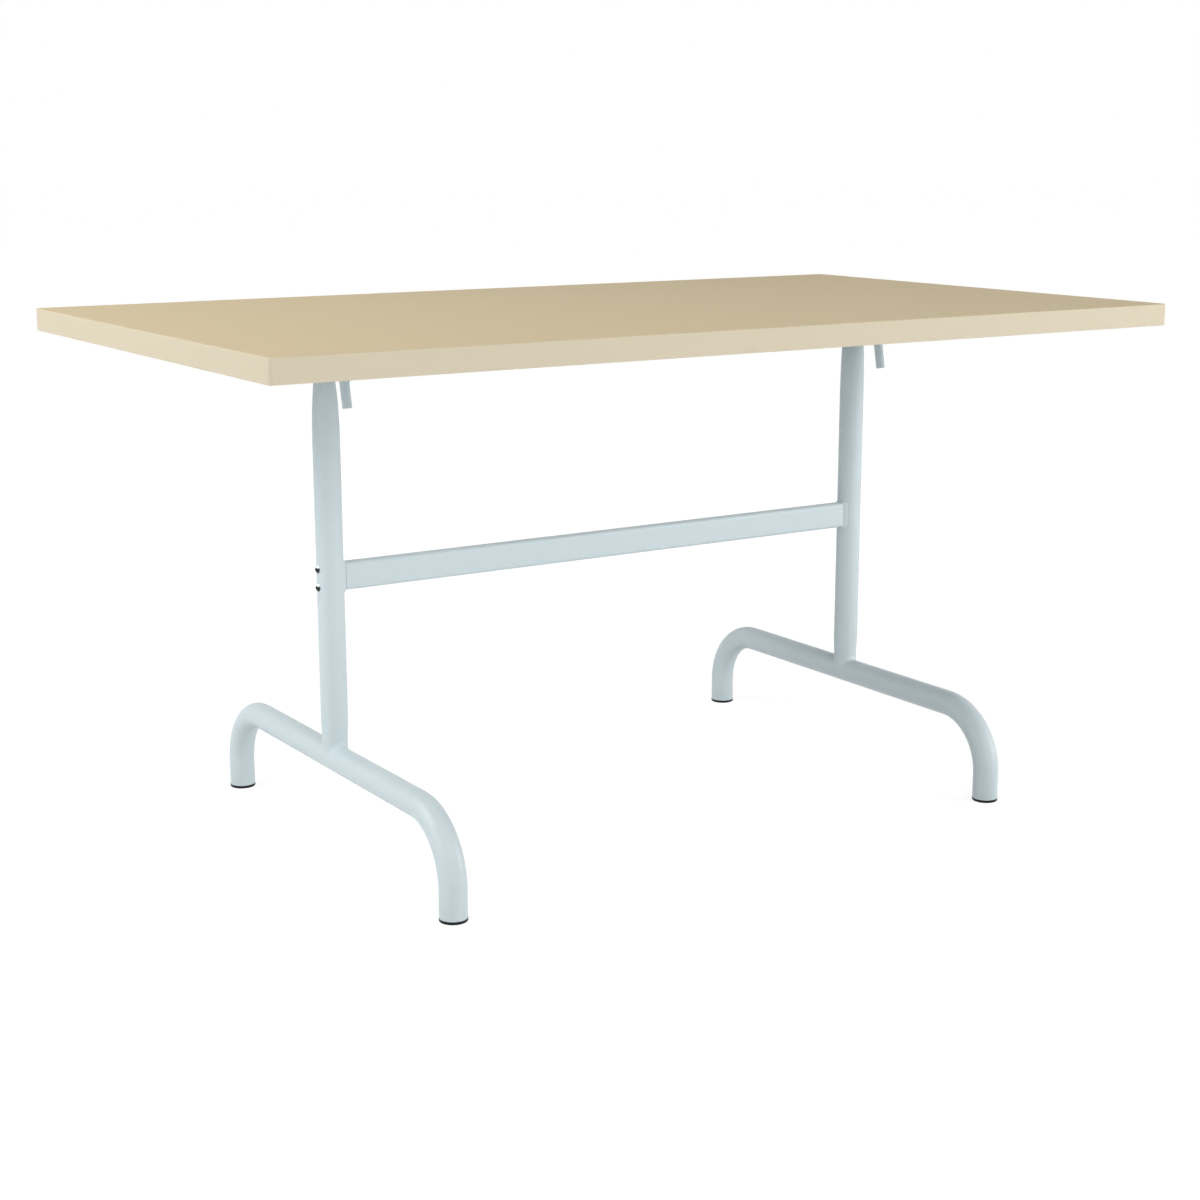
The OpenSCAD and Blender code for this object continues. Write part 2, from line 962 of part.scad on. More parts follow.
// The hook: a plate with an eye on a hub tube, an arm down to the lever and a jaw under the catch pin.
// Angles run about the latch's pivot from the back, towards the top.
arm_edge_a = 257;
jaw_root_a = 240;
jaw_tip_a = 280;
slot_r = latch_rise + catch_pin_d / 2 + pin_clear;
lever_top = [-catch_reach - lever_ahead, -lever_top_drop];

// A wedge about the origin between two angles
module wedge_2d(r, a0, a1) {
    polygon([
        [0, 0],
        for (i = [0 : 4])
            let (a = a0 + (a1 - a0) * i / 4)
                r * [cos(a), sin(a)]
    ]);
}

// Outline of the hook plate about the latch's pivot
module hook_2d() {
    arm_end = lever_top - [-catch_reach, latch_z];
    across = [cos(lever_lean), sin(lever_lean)] * lever_d / 2;
    down = [-sin(lever_lean), -cos(lever_lean)];
    difference() {
        union() {
            polygon([
                arm_end - across, arm_end + across, [eye_r, 0], [0, eye_r],
                [-eye_r, 0]
            ]);
            intersection() {
                circle(slot_r + jaw_h);
                wedge_2d(3 * slot_r, jaw_root_a, jaw_tip_a);
            }
        }
        intersection() {
            circle(slot_r);
            wedge_2d(3 * slot_r, arm_edge_a, 360);
        }
        translate(arm_end + 20 * down)
            rotate(-lever_lean)
                square(40, center = true);
    }
    circle(eye_r);
}

module hook() {
    hub_half = rail_gap / 2 - pin_clear;
    at_latch()
        difference() {
            union() {
                sheet_x(-hook_t / 2, hook_t)
                    hook_2d();
                bar_x(-hub_half, hub_half, hub_d);
            }
            bar_x(-rail_gap, rail_gap, latch_pin_d + 2 * run_clear);
        }
}

module left_hook() {
    color(frame_colour)
        on_side(-1)
            hook();
}

module right_hook() {
    color(frame_colour)
        on_side(1)
            hook();
}

// The lever: a plain round rod welded to the end of the hook's arm
module lever() {
    chamfer = 0.6;
    translate([0, lever_top[0], lever_top[1]])
        rotate([180 - lever_lean, 0, 0]) {
            cylinder(d = lever_d, h = lever_len - chamfer);
            translate([0, 0, lever_len - chamfer])
                cylinder(d1 = lever_d, d2 = lever_d - 2 * chamfer, h = chamfer);
        }
}

module left_lever() {
    color(frame_colour)
        on_side(-1)
            lever();
}

module right_lever() {
    color(frame_colour)
        on_side(1)
            lever();
}

// The torsion spring round the hub: one leg under the rail's web, the other bent across the
// front of the lever, where its end clears the hook plate
spring_r = hub_d / 2 + wire_d / 2 + 0.6;
spring_x = -hook_t / 2 - wire_d / 2 - 0.3;
coil_start_a = 60;
coil_end_turn = 0.35;
coil_rings = 12;
wire_sides = 6;

function coil_point(turn) = [
    spring_x - turn * (wire_d + coil_gap),
    spring_r * cos(coil_start_a - turn * 360),
    spring_r * sin(coil_start_a - turn * 360)
];

function spring_path() =
    let (
        web_leg_z = web_z - latch_z - wire_d / 2 - side_clear,
        turns = spring_coils + coil_end_turn,
        coil = [for (i = [0 : round(coil_rings * turns)]) coil_point(i / coil_rings)],
        first_x = coil[0][0],
        last_x = coil[len(coil) - 1][0],
        end_x = -hook_t / 2 - wire_d / 2 - 0.4,
        lever_side = sqrt(lever_d * lever_d / 4 - end_x * end_x),
        lever_y = -lever_ahead - lever_side / cos(lever_lean) - 4 * sin(lever_lean),
        bend = [lever_y - wire_d / 2 - 0.5, -lever_top_drop - latch_z + 6],
        tip = [lever_y - wire_d / 2 - 0.5, -lever_top_drop - latch_z - 3]
    )
    concat(
        [[first_x, -18, web_leg_z], [first_x, -1, web_leg_z]],
        coil,
        [[last_x, bend[0], bend[1]], [end_x, tip[0], tip[1]]]
    );

// The least gap between turns, measured between points that are more than half a turn apart
function least_gap(path) =
    min([
        for (i = [0 : len(path) - 1])
            for (j = [i + coil_rings / 2 : 1 : len(path) - 1])
                norm(path[i] - path[j])
    ]) - wire_d;

echo(str("Least gap of the latch spring to itself: ", least_gap(spring_path()), " mm"));

module latch_spring() {
    at_latch()
        swept_wire(spring_path(), wire_d / 2, wire_sides);
}

// A round wire along a path that never runs along X
module swept_wire(path, r, sides) {
    last = len(path) - 1;
    function along(i) = let (d = path[min(i + 1, last)] - path[max(i - 1, 0)]) d / norm(d);
    function ring(i) = let (
        out = cross(along(i), [1, 0, 0]),
        u = out / norm(out),
        v = cross(along(i), u)
    ) [for (k = [0 : sides - 1]) path[i] + r * (u * cos(k * 360 / sides) + v * sin(k * 360 / sides))];
    polyhedron(
        points = [for (i = [0 : last]) for (p = ring(i)) p],
        faces = concat(
            [[for (k = [0 : sides - 1]) k]],
            [
                for (i = [0 : last - 1])
                    for (k = [0 : sides - 1])
                        let (n = (k + 1) % sides)
                            for (tri = [
                                [i * sides + k, (i + 1) * sides + k, (i + 1) * sides + n],
                                [i * sides + k, (i + 1) * sides + n, i * sides + n]
                            ]) tri
            ],
            [[for (k = [sides - 1 : -1 : 0]) last * sides + k]]
        )
    );
}

module left_latch_spring() {
    color(steel_colour)
        on_side(-1)
            latch_spring();
}

module right_latch_spring() {
    color(steel_colour)
        on_side(1)
            latch_spring();
}

tabletop_shell();
tabletop_core();
tabletop_backing();
left_rail();
right_rail();
rail_screws();
threaded_inserts();
left_base_tube();
right_base_tube();
left_column();
right_column();
crossbar();
left_crossbar_saddle();
right_crossbar_saddle();
crossbar_bolts();
bolt_seat_washers();
front_left_glide();
back_left_glide();
front_right_glide();
back_right_glide();
left_catch_bracket();
right_catch_bracket();
left_catch_pin();
right_catch_pin();
left_stop_sleeves();
right_stop_sleeves();
left_fold_buffer();
right_fold_buffer();
left_pivot_bushes();
right_pivot_bushes();
left_pivot_bolt();
right_pivot_bolt();
pivot_washers();
pivot_lock_nuts();
left_latch_pin();
right_latch_pin();
latch_pin_clips();
left_hook();
right_hook();
left_lever();
right_lever();
left_latch_spring();
right_latch_spring();
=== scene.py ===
import math

import bmesh
import bpy
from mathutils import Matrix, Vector


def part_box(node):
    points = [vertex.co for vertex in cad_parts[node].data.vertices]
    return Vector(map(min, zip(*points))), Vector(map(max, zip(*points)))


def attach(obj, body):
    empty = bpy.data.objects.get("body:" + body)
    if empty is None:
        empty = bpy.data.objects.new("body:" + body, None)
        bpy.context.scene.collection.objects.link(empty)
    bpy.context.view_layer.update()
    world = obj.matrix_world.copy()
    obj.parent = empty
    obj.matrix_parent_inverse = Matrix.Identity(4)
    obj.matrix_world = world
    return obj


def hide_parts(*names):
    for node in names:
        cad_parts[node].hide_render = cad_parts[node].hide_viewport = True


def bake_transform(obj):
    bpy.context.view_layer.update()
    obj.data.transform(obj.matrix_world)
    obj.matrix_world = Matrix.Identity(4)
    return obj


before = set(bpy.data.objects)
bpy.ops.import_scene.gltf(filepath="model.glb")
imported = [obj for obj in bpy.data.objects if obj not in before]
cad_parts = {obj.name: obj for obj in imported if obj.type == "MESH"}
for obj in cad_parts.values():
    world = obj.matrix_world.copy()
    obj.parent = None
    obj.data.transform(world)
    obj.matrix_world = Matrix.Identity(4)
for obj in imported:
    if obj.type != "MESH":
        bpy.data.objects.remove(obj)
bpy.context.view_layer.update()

# All sizes are in metres. Those of the main forms are the ones in the part's source
MM = 0.001
SIDES = {"left": -1, "right": 1}

# The top
TOP_T = 31 * MM
TOP_CORNER_R = 5 * MM
TOP_EDGE_R = 2 * MM
TOP_LOWER_EDGE = 0.6 * MM
SHELL_T = 4 * MM
RIM_T = 6 * MM

# The base tubes
TUBE_R = 18.4 * MM
TUBE_WALL = 2 * MM
TUBE_END_EDGE = 0.4 * MM
COLUMN_X = 447.5 * MM
FOOT_Y = 331.5 * MM
BASE_H = 128.5 * MM
BEND_R = 88 * MM

# The crossbar and the plugs of its saddles
BAR_Z = 381 * MM
BAR_H = 38 * MM
BAR_D = 20 * MM
BAR_R = 5 * MM
BAR_WALL = 2 * MM
SADDLE_T = 4 * MM
SADDLE_LIP = 3 * MM
PLUG_LEN = 25 * MM
PLUG_CLEAR = 0.05 * MM

# The saddle's outlines, from the crossbar out: how far each stands proud of the crossbar, and how far it
# stays off the column. The first is flat
SADDLE_PROFILE = [
    (0, None),
    (0, 3.95 * MM),
    (-0.7 * MM, 3.5 * MM),
    (0, 3.1 * MM),
    (1.0 * MM, 2.3 * MM),
    (2.0 * MM, 1.6 * MM),
    (2.8 * MM, 1.0 * MM),
    (SADDLE_LIP, 0.6 * MM),
]

# The columns: the narrow foot, the plain part, and the head, squeezed along X and spread along Y
FOOT_R = 17.3 * MM
FOOT_RISE = 3 * MM
FOOT_LEN = 34 * MM
PLAIN_RINGS = (280 * MM, BAR_Z, 480 * MM)
SQUEEZE_Z = 543 * MM
SQUEEZE_LEN = 100 * MM
SQUEEZE_POWER = 3
HEAD_HALF_X = 10 * MM
HEAD_HALF_Y = 20.5 * MM
HEAD_TOP = 676.5 * MM

# The dressed welds: their reach up the column and over the base tube, their hollow, and their sunk edges
WELD_UP = 7 * MM
WELD_ALONG = 4 * MM
WELD_ACROSS = 0.95 * MM
WELD_POWER = 3
WELD_SUNK = 0.15 * MM
WELD_T = 2 * MM

# Rings that are dropped on a base tube start this high
DROP_Z = BASE_H + TUBE_R + 20 * MM

# The glides
GLIDE_H = 4 * MM
GLIDE_R = 18.6 * MM
GLIDE_PLUG = 22 * MM
GLIDE_SHOULDER = 2.3 * MM
GLIDE_LOWER_EDGE = 1.2 * MM
GLIDE_UPPER_EDGE = 0.3 * MM
GLIDE_RECESS_RIM = 4 * MM
GLIDE_RECESS = 1 * MM

# The latches: the latch pin's place, and the lever's two ends
LATCH_Y = -47 * MM
LATCH_Z = 679 * MM
LEVER_R = 6.5 * MM
LEVER_END_EDGE = 0.6 * MM
LEVER_LEAN = math.radians(11.4)
LEVER_TOP = Vector((0, -59.4 * MM, 653 * MM))
LEVER_END = Vector((0, -66.96 * MM, 615.5 * MM))

# The latch springs, measured from the latch pin: towards the table's middle, back, and up
WIRE_R = 0.8 * MM
SPRING_R = 8.4 * MM
SPRING_PITCH = 2.05 * MM
SPRING_TURNS = 2.35
POINTS_PER_TURN = 28
SPRING_START = math.radians(60)
SPRING_INWARD = 4.1 * MM
RAIL_LEG_BACK = (-18 * MM, -9 * MM, -1 * MM)
RAIL_LEG_UP = 10.1 * MM
LEVER_LEG_BACK = -19.55 * MM
LEVER_LEG_BEND_UP = -20 * MM
LEVER_LEG_END_UP = -29 * MM
LEVER_LEG_END_INWARD = 4.2 * MM

# The broken edges of pressed and cut steel
PRESSED_EDGE = 0.4 * MM

# A point this near to a plane lies on it, and a face whose normal has this much of an axis looks along it
NEAR = 0.1 * MM
SQUARE_ON = 0.99

# A point of a weld lies on one of its rings when it is off it by less than this share
ON_RING = 0.001

# Points nearer than this are one point, in the pieces modelled here and in those taken from the CAD
DOUBLE = 0.01 * MM
CAD_DOUBLE = 0.002 * MM

# The angle between faces below which they are one flat face, and above which their edge is sharp
FLAT = math.radians(0.5)
SHARP = math.radians(40)

# The angle between faces below which their edge is shaded smooth: on most pieces, and on welds and wires
SMOOTH = math.radians(35)
SMOOTH_CURVED = math.radians(50)

# The sides of round parts, and the steps of rounded edges and bends
ROUND_SIDES = 64
WELD_SIDES = 96
ROD_SIDES = 40
CORNER_STEPS = 8
BEND_STEPS = 20

# The cylinder that cuts the saddles to the curve of the columns
CUTTER_SIDES = 128
CUTTER_LEN = 80 * MM


# The camera of the photograph
def place_camera():
    data = bpy.data.cameras.new("photograph_camera")
    data.sensor_width = 36
    data.lens = 62.16
    data.shift_x = -0.0135
    data.shift_y = 0.0026
    data.clip_end = 100
    camera = bpy.data.objects.new("photograph_camera", data)
    camera.location = (-1.61167, -2.49416, 0.95640)
    looking_down = math.radians(12.64)
    leaning = math.radians(-0.04)
    heading = math.radians(-33.04)
    camera.rotation_euler = (math.radians(90) - looking_down, leaning, heading)
    bpy.context.scene.collection.objects.link(camera)
    bpy.context.scene.camera = camera


# Modelling helpers
def clear_selection():
    bpy.ops.object.select_all(action="DESELECT")


def settle(name):
    """Names the primitive that was just added, puts its place into its mesh and opens it for editing."""
    piece = bpy.context.object
    piece.name = name
    piece.data.name = name
    bpy.ops.object.transform_apply(location=True, rotation=True, scale=True)
    bpy.ops.object.mode_set(mode="EDIT")
    bpy.ops.mesh.select_mode(type="VERT")
    return piece


def middle(part):
    """The middle of an edge or a face."""
    return sum((vert.co for vert in part.verts), Vector()) / len(part.verts)


def pick(kind, wanted):
    """Selects only the vertices, edges or faces that are wanted, in edit mode."""
    bpy.ops.mesh.select_mode(type=kind)
    bpy.ops.mesh.select_all(action="DESELECT")
    mesh = bmesh.from_edit_mesh(bpy.context.object.data)
    parts = {"VERT": mesh.verts, "EDGE": mesh.edges, "FACE": mesh.faces}[kind]
    for part in parts:
        if wanted(part):
            part.select_set(True)
    bmesh.update_edit_mesh(bpy.context.object.data)


def is_sharp(edge):
    return len(edge.link_faces) == 2 and edge.calc_face_angle(0) > SHARP


def push(x=0.0, y=0.0, z=0.0):
    """Extrudes what is selected and moves it."""
    bpy.ops.mesh.extrude_region_move(TRANSFORM_OT_translate={"value": (x, y, z)})


def put_modifier(piece, kind, **settings):
    """Adds a modifier with these settings and applies it."""
    modifier = piece.modifiers.new(kind.lower(), kind)
    for name, value in settings.items():
        setattr(modifier, name, value)
    bpy.context.view_layer.objects.active = piece
    bpy.ops.object.modifier_apply(modifier=modifier.name)


def finish_mesh(piece, smooth_angle=SMOOTH, weigh=True):
    """Leaves edit mode and sets the shading, so that flats stay flat between their rounded edges."""
    if piece.mode == "EDIT":
        bpy.ops.object.mode_set(mode="OBJECT")
    clear_selection()
    piece.select_set(True)
    bpy.context.view_layer.objects.active = piece
    bpy.ops.object.shade_smooth_by_angle(angle=smooth_angle)
    if weigh:
        put_modifier(piece, "WEIGHTED_NORMAL", mode="FACE_AREA", weight=50, keep_sharp=True)


def tidy_normals():
    """Merges doubles and turns every face outwards, in edit mode."""
    bpy.ops.mesh.select_all(action="SELECT")
    bpy.ops.mesh.remove_doubles(threshold=DOUBLE)
    bpy.ops.mesh.normals_make_consistent(inside=False)


def copy_to(piece, name, move=(0, 0, 0), turn=0.0):
    """A copy with its own mesh, moved, or turned about the upright axis through the origin."""
    clear_selection()
    piece.select_set(True)
    bpy.context.view_layer.objects.active = piece
    bpy.ops.object.duplicate(linked=False)
    copy = bpy.context.object
    copy.name = name
    copy.data.name = name
    copy.location = move
    copy.rotation_euler = (0, 0, turn)
    bpy.ops.object.transform_apply(location=True, rotation=True, scale=True)
    return copy


def wire_piece(name, points, radius):
    """A round wire along points, made as a curve and turned into a mesh."""
    curve = bpy.data.curves.new(name, "CURVE")
    curve.dimensions = "3D"
    curve.bevel_depth = radius
    curve.bevel_resolution = 3
    curve.use_fill_caps = True
    line = curve.splines.new("POLY")
    line.points.add(len(points) - 1)
    for spot, point in zip(line.points, points):
        spot.co = (*point, 1)
    piece = bpy.data.objects.new(name, curve)
    bpy.context.scene.collection.objects.link(piece)
    clear_selection()
    piece.select_set(True)
    bpy.context.view_layer.objects.active = piece
    bpy.ops.object.convert(target="MESH")
    piece = bpy.context.object
    bpy.ops.object.mode_set(mode="EDIT")
    tidy_normals()
    finish_mesh(piece, SMOOTH_CURVED, weigh=False)
    return piece


def dressed(piece, body, node, slot):
    """The piece rides on its body, stands for its CAD node and takes its finish."""
    piece.data.materials.clear()
    piece.data.materials.append(FINISHES[slot])
    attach(piece, body)
    if node:
        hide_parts(node)


def softened(node, name):
    """A copy of a CAD node with its facets merged and its edges broken, as pressed or cut steel has them."""
    piece = bpy.data.objects.new(name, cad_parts[node].data.copy())
    bpy.context.scene.collection.objects.link(piece)
    clear_selection()
    piece.select_set(True)
    bpy.context.view_layer.objects.active = piece
    bpy.ops.mesh.customdata_custom_splitnormals_clear()
    bpy.ops.object.mode_set(mode="EDIT")
    bpy.ops.mesh.select_all(action="SELECT")
    bpy.ops.mesh.remove_doubles(threshold=CAD_DOUBLE)
    bpy.ops.mesh.dissolve_limited(angle_limit=FLAT)
    pick("EDGE", is_sharp)
    bpy.ops.mesh.bevel(offset=PRESSED_EDGE, segments=2, affect="EDGES", clamp_overlap=True)
    finish_mesh(piece)
    return piece


def round_block(name, low, high):
    """A box whose upright edges are rounded."""
    clear_selection()
    bpy.ops.mesh.primitive_cube_add(size=1, location=(low + high) / 2, scale=high - low)
    block = settle(name)
    pick("EDGE", lambda e: abs(e.verts[0].co.z - e.verts[1].co.z) > TOP_T / 2)
    bpy.ops.mesh.bevel(offset=TOP_CORNER_R, segments=CORNER_STEPS, affect="EDGES")
    return block


# The moulded top: round upright corners, a rounded upper edge and a hollow under it for the core
def moulded_top():
    low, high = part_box("tabletop_shell")
    top = round_block("moulded_tabletop", low, high)
    pick("FACE", lambda f: f.normal.z > SQUARE_ON)
    bpy.ops.mesh.region_to_loop()
    bpy.ops.mesh.bevel(offset=TOP_EDGE_R, segments=6, affect="EDGES")
    pick("FACE", lambda f: f.normal.z < -SQUARE_ON)
    bpy.ops.mesh.region_to_loop()
    bpy.ops.mesh.bevel(offset=TOP_LOWER_EDGE, segments=2, affect="EDGES")
    bpy.ops.object.mode_set(mode="OBJECT")
    hollow_low = low + Vector((RIM_T, RIM_T, -SHELL_T))
    hollow_high = high - Vector((RIM_T, RIM_T, SHELL_T))
    hollow = round_block("hollow", hollow_low, hollow_high)
    bpy.ops.object.mode_set(mode="OBJECT")
    put_modifier(top, "BOOLEAN", operation="DIFFERENCE", object=hollow, solver="EXACT")
    bpy.data.objects.remove(hollow)
    finish_mesh(top)
    return top


# A base tube: bent round two corners, open at its ends, where the glides go in
def base_tube(name, x):
    clear_selection()
    bpy.ops.mesh.primitive_circle_add(
        vertices=ROUND_SIDES, radius=TUBE_R, fill_type="NOTHING", location=(x, -FOOT_Y, GLIDE_H)
    )
    tube = settle(name)
    bpy.ops.mesh.select_all(action="SELECT")
    quarter = math.radians(90)
    bend_y = FOOT_Y - BEND_R
    bend_z = BASE_H - BEND_R
    push(z=bend_z - GLIDE_H)
    bpy.ops.mesh.spin(steps=BEND_STEPS, angle=quarter, center=(x, -bend_y, bend_z), axis=(1, 0, 0))
    push(y=2 * bend_y)
    bpy.ops.mesh.spin(steps=BEND_STEPS, angle=quarter, center=(x, bend_y, bend_z), axis=(1, 0, 0))
    push(z=GLIDE_H - bend_z)
    tidy_normals()
    bpy.ops.object.mode_set(mode="OBJECT")
    return tube


def wall_tube(tube):
    """Gives an open tube its wall and breaks the edges of its cut ends."""
    put_modifier(tube, "SOLIDIFY", thickness=TUBE_WALL, offset=-1, use_even_offset=True, use_rim=True)
    bpy.ops.object.mode_set(mode="EDIT")
    pick("EDGE", is_sharp)
    bpy.ops.mesh.bevel(offset=TUBE_END_EDGE, segments=2, affect="EDGES")
    finish_mesh(tube, weigh=False)


def drop_on(ring, base):
    """Drops a ring straight down onto a base tube."""
    put_modifier(
        ring, "SHRINKWRAP", target=base, wrap_method="PROJECT", use_project_z=True,
        use_negative_direction=True, use_positive_direction=False,
    )


def ease(share):
    """Goes from 0 to 1 with a soft start and end."""
    return share * share * (3 - 2 * share)


def head_rings():
    """The rings of a column's head, as heights and how far each is squeezed, from 0 to 1."""
    steps = 26
    rings = []
    for step in range(steps + 1):
        rings.append((SQUEEZE_Z + SQUEEZE_LEN * step / steps, (step / steps) ** SQUEEZE_POWER))
    return rings + [(HEAD_TOP, 1)]


def column_rings():
    """All rings of a column above the coped one, as heights and radii."""
    foot_z = BASE_H + TUBE_R + FOOT_RISE
    steps = 8
    rings = []
    for step in range(steps + 1):
        rings.append((foot_z + FOOT_LEN * step / steps, FOOT_R + (TUBE_R - FOOT_R) * ease(step / steps)))
    rings += [(height, TUBE_R) for height in PLAIN_RINGS]
    return rings + [(height, TUBE_R + (HEAD_HALF_X - TUBE_R) * squeeze) for height, squeeze in head_rings()]


# A column: coped on the base tube, narrowed at its foot, and squeezed flat-sided at its head
def column(name, x, base):
    clear_selection()
    bpy.ops.mesh.primitive_circle_add(
        vertices=ROUND_SIDES, radius=FOOT_R, fill_type="NOTHING", location=(x, 0, DROP_Z),
        rotation=(0, 0, math.pi / ROUND_SIDES),
    )
    tube = settle(name)
    bpy.ops.object.mode_set(mode="OBJECT")
    drop_on(tube, base)
    bpy.ops.object.mode_set(mode="EDIT")
    bpy.ops.mesh.select_all(action="SELECT")
    # The first ring above the coped one is flattened to one height
    rings = column_rings()
    height, radius = rings[0]
    push(z=height - BASE_H)
    bpy.ops.transform.resize(value=(1, 1, 0), center_override=(x, 0, height))
    for next_height, next_radius in rings[1:]:
        push(z=next_height - height)
        scale = next_radius / radius
        bpy.ops.transform.resize(value=(scale, scale, 1), center_override=(x, 0, next_height))
        height, radius = next_height, next_radius
    # The squeeze spreads the two halves of each of the head's rings apart
    for height, squeeze in head_rings():
        for half in (-1, 1):
            pick("VERT", lambda v: abs(v.co.z - height) < NEAR and v.co.y * half > 0)
            shift = half * (HEAD_HALF_Y - HEAD_HALF_X) * squeeze
            bpy.ops.transform.translate(value=(0, shift, 0))
    tidy_normals()
    bpy.ops.object.mode_set(mode="OBJECT")
    return tube


# The weld where a column stands on its base tube, dressed to a hollow that runs out on both
def column_weld(name, x, base):
    inner = FOOT_R - WELD_SUNK
    clear_selection()
    bpy.ops.mesh.primitive_circle_add(
        vertices=WELD_SIDES, radius=inner, fill_type="NOTHING", location=(x, 0, DROP_Z)
    )
    weld = settle(name)
    bpy.ops.mesh.select_all(action="SELECT")
    # Rings round the column, each wider than the last, and widest along the base tube
    steps = 8
    rings = []
    for step in range(steps + 1):
        share = step / steps
        across = inner + (WELD_SUNK + WELD_ACROSS) * share
        along = inner + (WELD_SUNK + WELD_ALONG) * share
        rings.append((share, across, along))
    for (_, across, along), (_, next_across, next_along) in zip(rings, rings[1:]):
        push()
        growth = (next_across / across, next_along / along, 1)
        bpy.ops.transform.resize(value=growth, center_override=(x, 0, 0))
    bpy.ops.object.mode_set(mode="OBJECT")
    drop_on(weld, base)
    # On the base tube they rise towards the column, and the outermost sinks in
    bpy.ops.object.mode_set(mode="EDIT")
    for share, across, along in rings:
        pick("VERT", lambda v: abs(math.hypot((v.co.x - x) / across, v.co.y / along) - 1) < ON_RING)
        rise = WELD_UP * (1 - share) ** WELD_POWER - WELD_SUNK * share
        bpy.ops.transform.translate(value=(0, 0, rise))
    pick("FACE", lambda f: True)
    push(z=-WELD_T)
    tidy_normals()
    finish_mesh(weld, SMOOTH_CURVED)
    return weld


# The crossbar: a flat tube with rounded long edges, open at its ends
def crossbar_tube():
    low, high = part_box("crossbar")
    clear_selection()
    bpy.ops.mesh.primitive_cube_add(size=1, location=(low + high) / 2, scale=high - low)
    bar = settle("crossbar_tube")
    pick("EDGE", lambda e: abs(e.verts[0].co.x - e.verts[1].co.x) > NEAR)
    bpy.ops.mesh.bevel(offset=BAR_R, segments=CORNER_STEPS, affect="EDGES")
    pick("FACE", lambda f: abs(f.normal.x) > SQUARE_ON)
    bpy.ops.mesh.delete(type="FACE")
    bpy.ops.object.mode_set(mode="OBJECT")
    put_modifier(bar, "SOLIDIFY", thickness=BAR_WALL, offset=-1, use_even_offset=True, use_rim=True)
    finish_mesh(bar)
    return bar


# A saddle: a plug inside the crossbar, and a flange that flares as it nears the column and follows its curve
def right_crossbar_flange():
    seat_x = COLUMN_X - TUBE_R - SADDLE_T
    centre = (seat_x, 0, BAR_Z)
    clear_selection()
    bpy.ops.mesh.primitive_plane_add(
        size=1, location=(seat_x - PLUG_LEN, 0, BAR_Z), rotation=(0, math.radians(90), 0)
    )
    flange = settle("right_crossbar_flange")
    inside = BAR_WALL + PLUG_CLEAR
    # An outline's half sizes across Y and Z, and its corner radius
    shape = (BAR_D / 2 - inside, BAR_H / 2 - inside, BAR_R - BAR_WALL)
    bpy.ops.mesh.select_all(action="SELECT")
    bpy.ops.transform.resize(value=(1, 2 * shape[0], 2 * shape[1]), center_override=centre)
    bpy.ops.mesh.bevel(offset=shape[2], segments=CORNER_STEPS, affect="VERTICES")
    pick("FACE", lambda f: True)
    push(x=PLUG_LEN)
    # Out to the crossbar's outline, a fine groove along the joint, the flare, and on into the column
    for lip, distance in SADDLE_PROFILE:
        next_shape = (BAR_D / 2 + lip, BAR_H / 2 + lip, BAR_R + lip)
        push()
        reshape_outline(shape, next_shape)
        if distance is not None:
            wrap_outline(distance)
        shape = next_shape
    push(x=BAR_D / 2)
    tidy_normals()
    bpy.ops.object.mode_set(mode="OBJECT")
    cut_to_column(flange)
    finish_mesh(flange)
    return flange


def reshape_outline(old, new):
    """Gives the selected outline round the crossbar's axis its new half sizes and corner radius."""
    mesh = bmesh.from_edit_mesh(bpy.context.object.data)
    mesh.verts.index_update()
    outline = {vert.index for vert in mesh.verts if vert.select}
    old_y, old_z, old_r = old
    new_y, new_z, new_r = new
    scale = new_r / old_r
    for across in (-1, 1):
        for up in (-1, 1):
            pick("VERT", lambda v: v.index in outline and v.co.y * across > 0 and (v.co.z - BAR_Z) * up > 0)
            corner_y, corner_z = across * (old_y - old_r), up * (old_z - old_r)
            shift_y = across * (new_y - new_r) - corner_y
            shift_z = up * (new_z - new_r) - corner_z
            corner = (0, corner_y, BAR_Z + corner_z)
            bpy.ops.transform.resize(value=(1, scale, scale), center_override=corner)
            bpy.ops.transform.translate(value=(0, shift_y, shift_z))
    pick("FACE", lambda f: all(vert.index in outline for vert in f.verts))


def wrap_outline(distance):
    """Moves the selected outline along X until all of it is this far from the right column."""
    mesh = bmesh.from_edit_mesh(bpy.context.object.data)
    mesh.verts.index_update()
    outline = {vert.index for vert in mesh.verts if vert.select}
    # Points as far forward or back as each other, to a thousandth of a millimetre, have the same way to go
    digits = 6
    at_x = {round(abs(vert.co.y), digits): vert.co.x for vert in mesh.verts if vert.select}
    for depth, x in sorted(at_x.items()):
        pick("VERT", lambda v: v.index in outline and round(abs(v.co.y), digits) == depth)
        goal = COLUMN_X - math.sqrt(TUBE_R ** 2 - depth ** 2) - distance
        bpy.ops.transform.translate(value=(goal - x, 0, 0))
    pick("FACE", lambda f: all(vert.index in outline for vert in f.verts))


def cut_to_column(piece):
    """Cuts a piece at the crossbar's height to the curve of the right column."""
    clear_selection()
    bpy.ops.mesh.primitive_cylinder_add(
        vertices=CUTTER_SIDES, radius=TUBE_R, depth=CUTTER_LEN, location=(COLUMN_X, 0, BAR_Z)
    )
    cutter = bpy.context.object
    bpy.ops.object.transform_apply(location=True, rotation=True, scale=True)
    put_modifier(piece, "BOOLEAN", operation="DIFFERENCE", object=cutter, solver="EXACT")
    bpy.data.objects.remove(cutter)


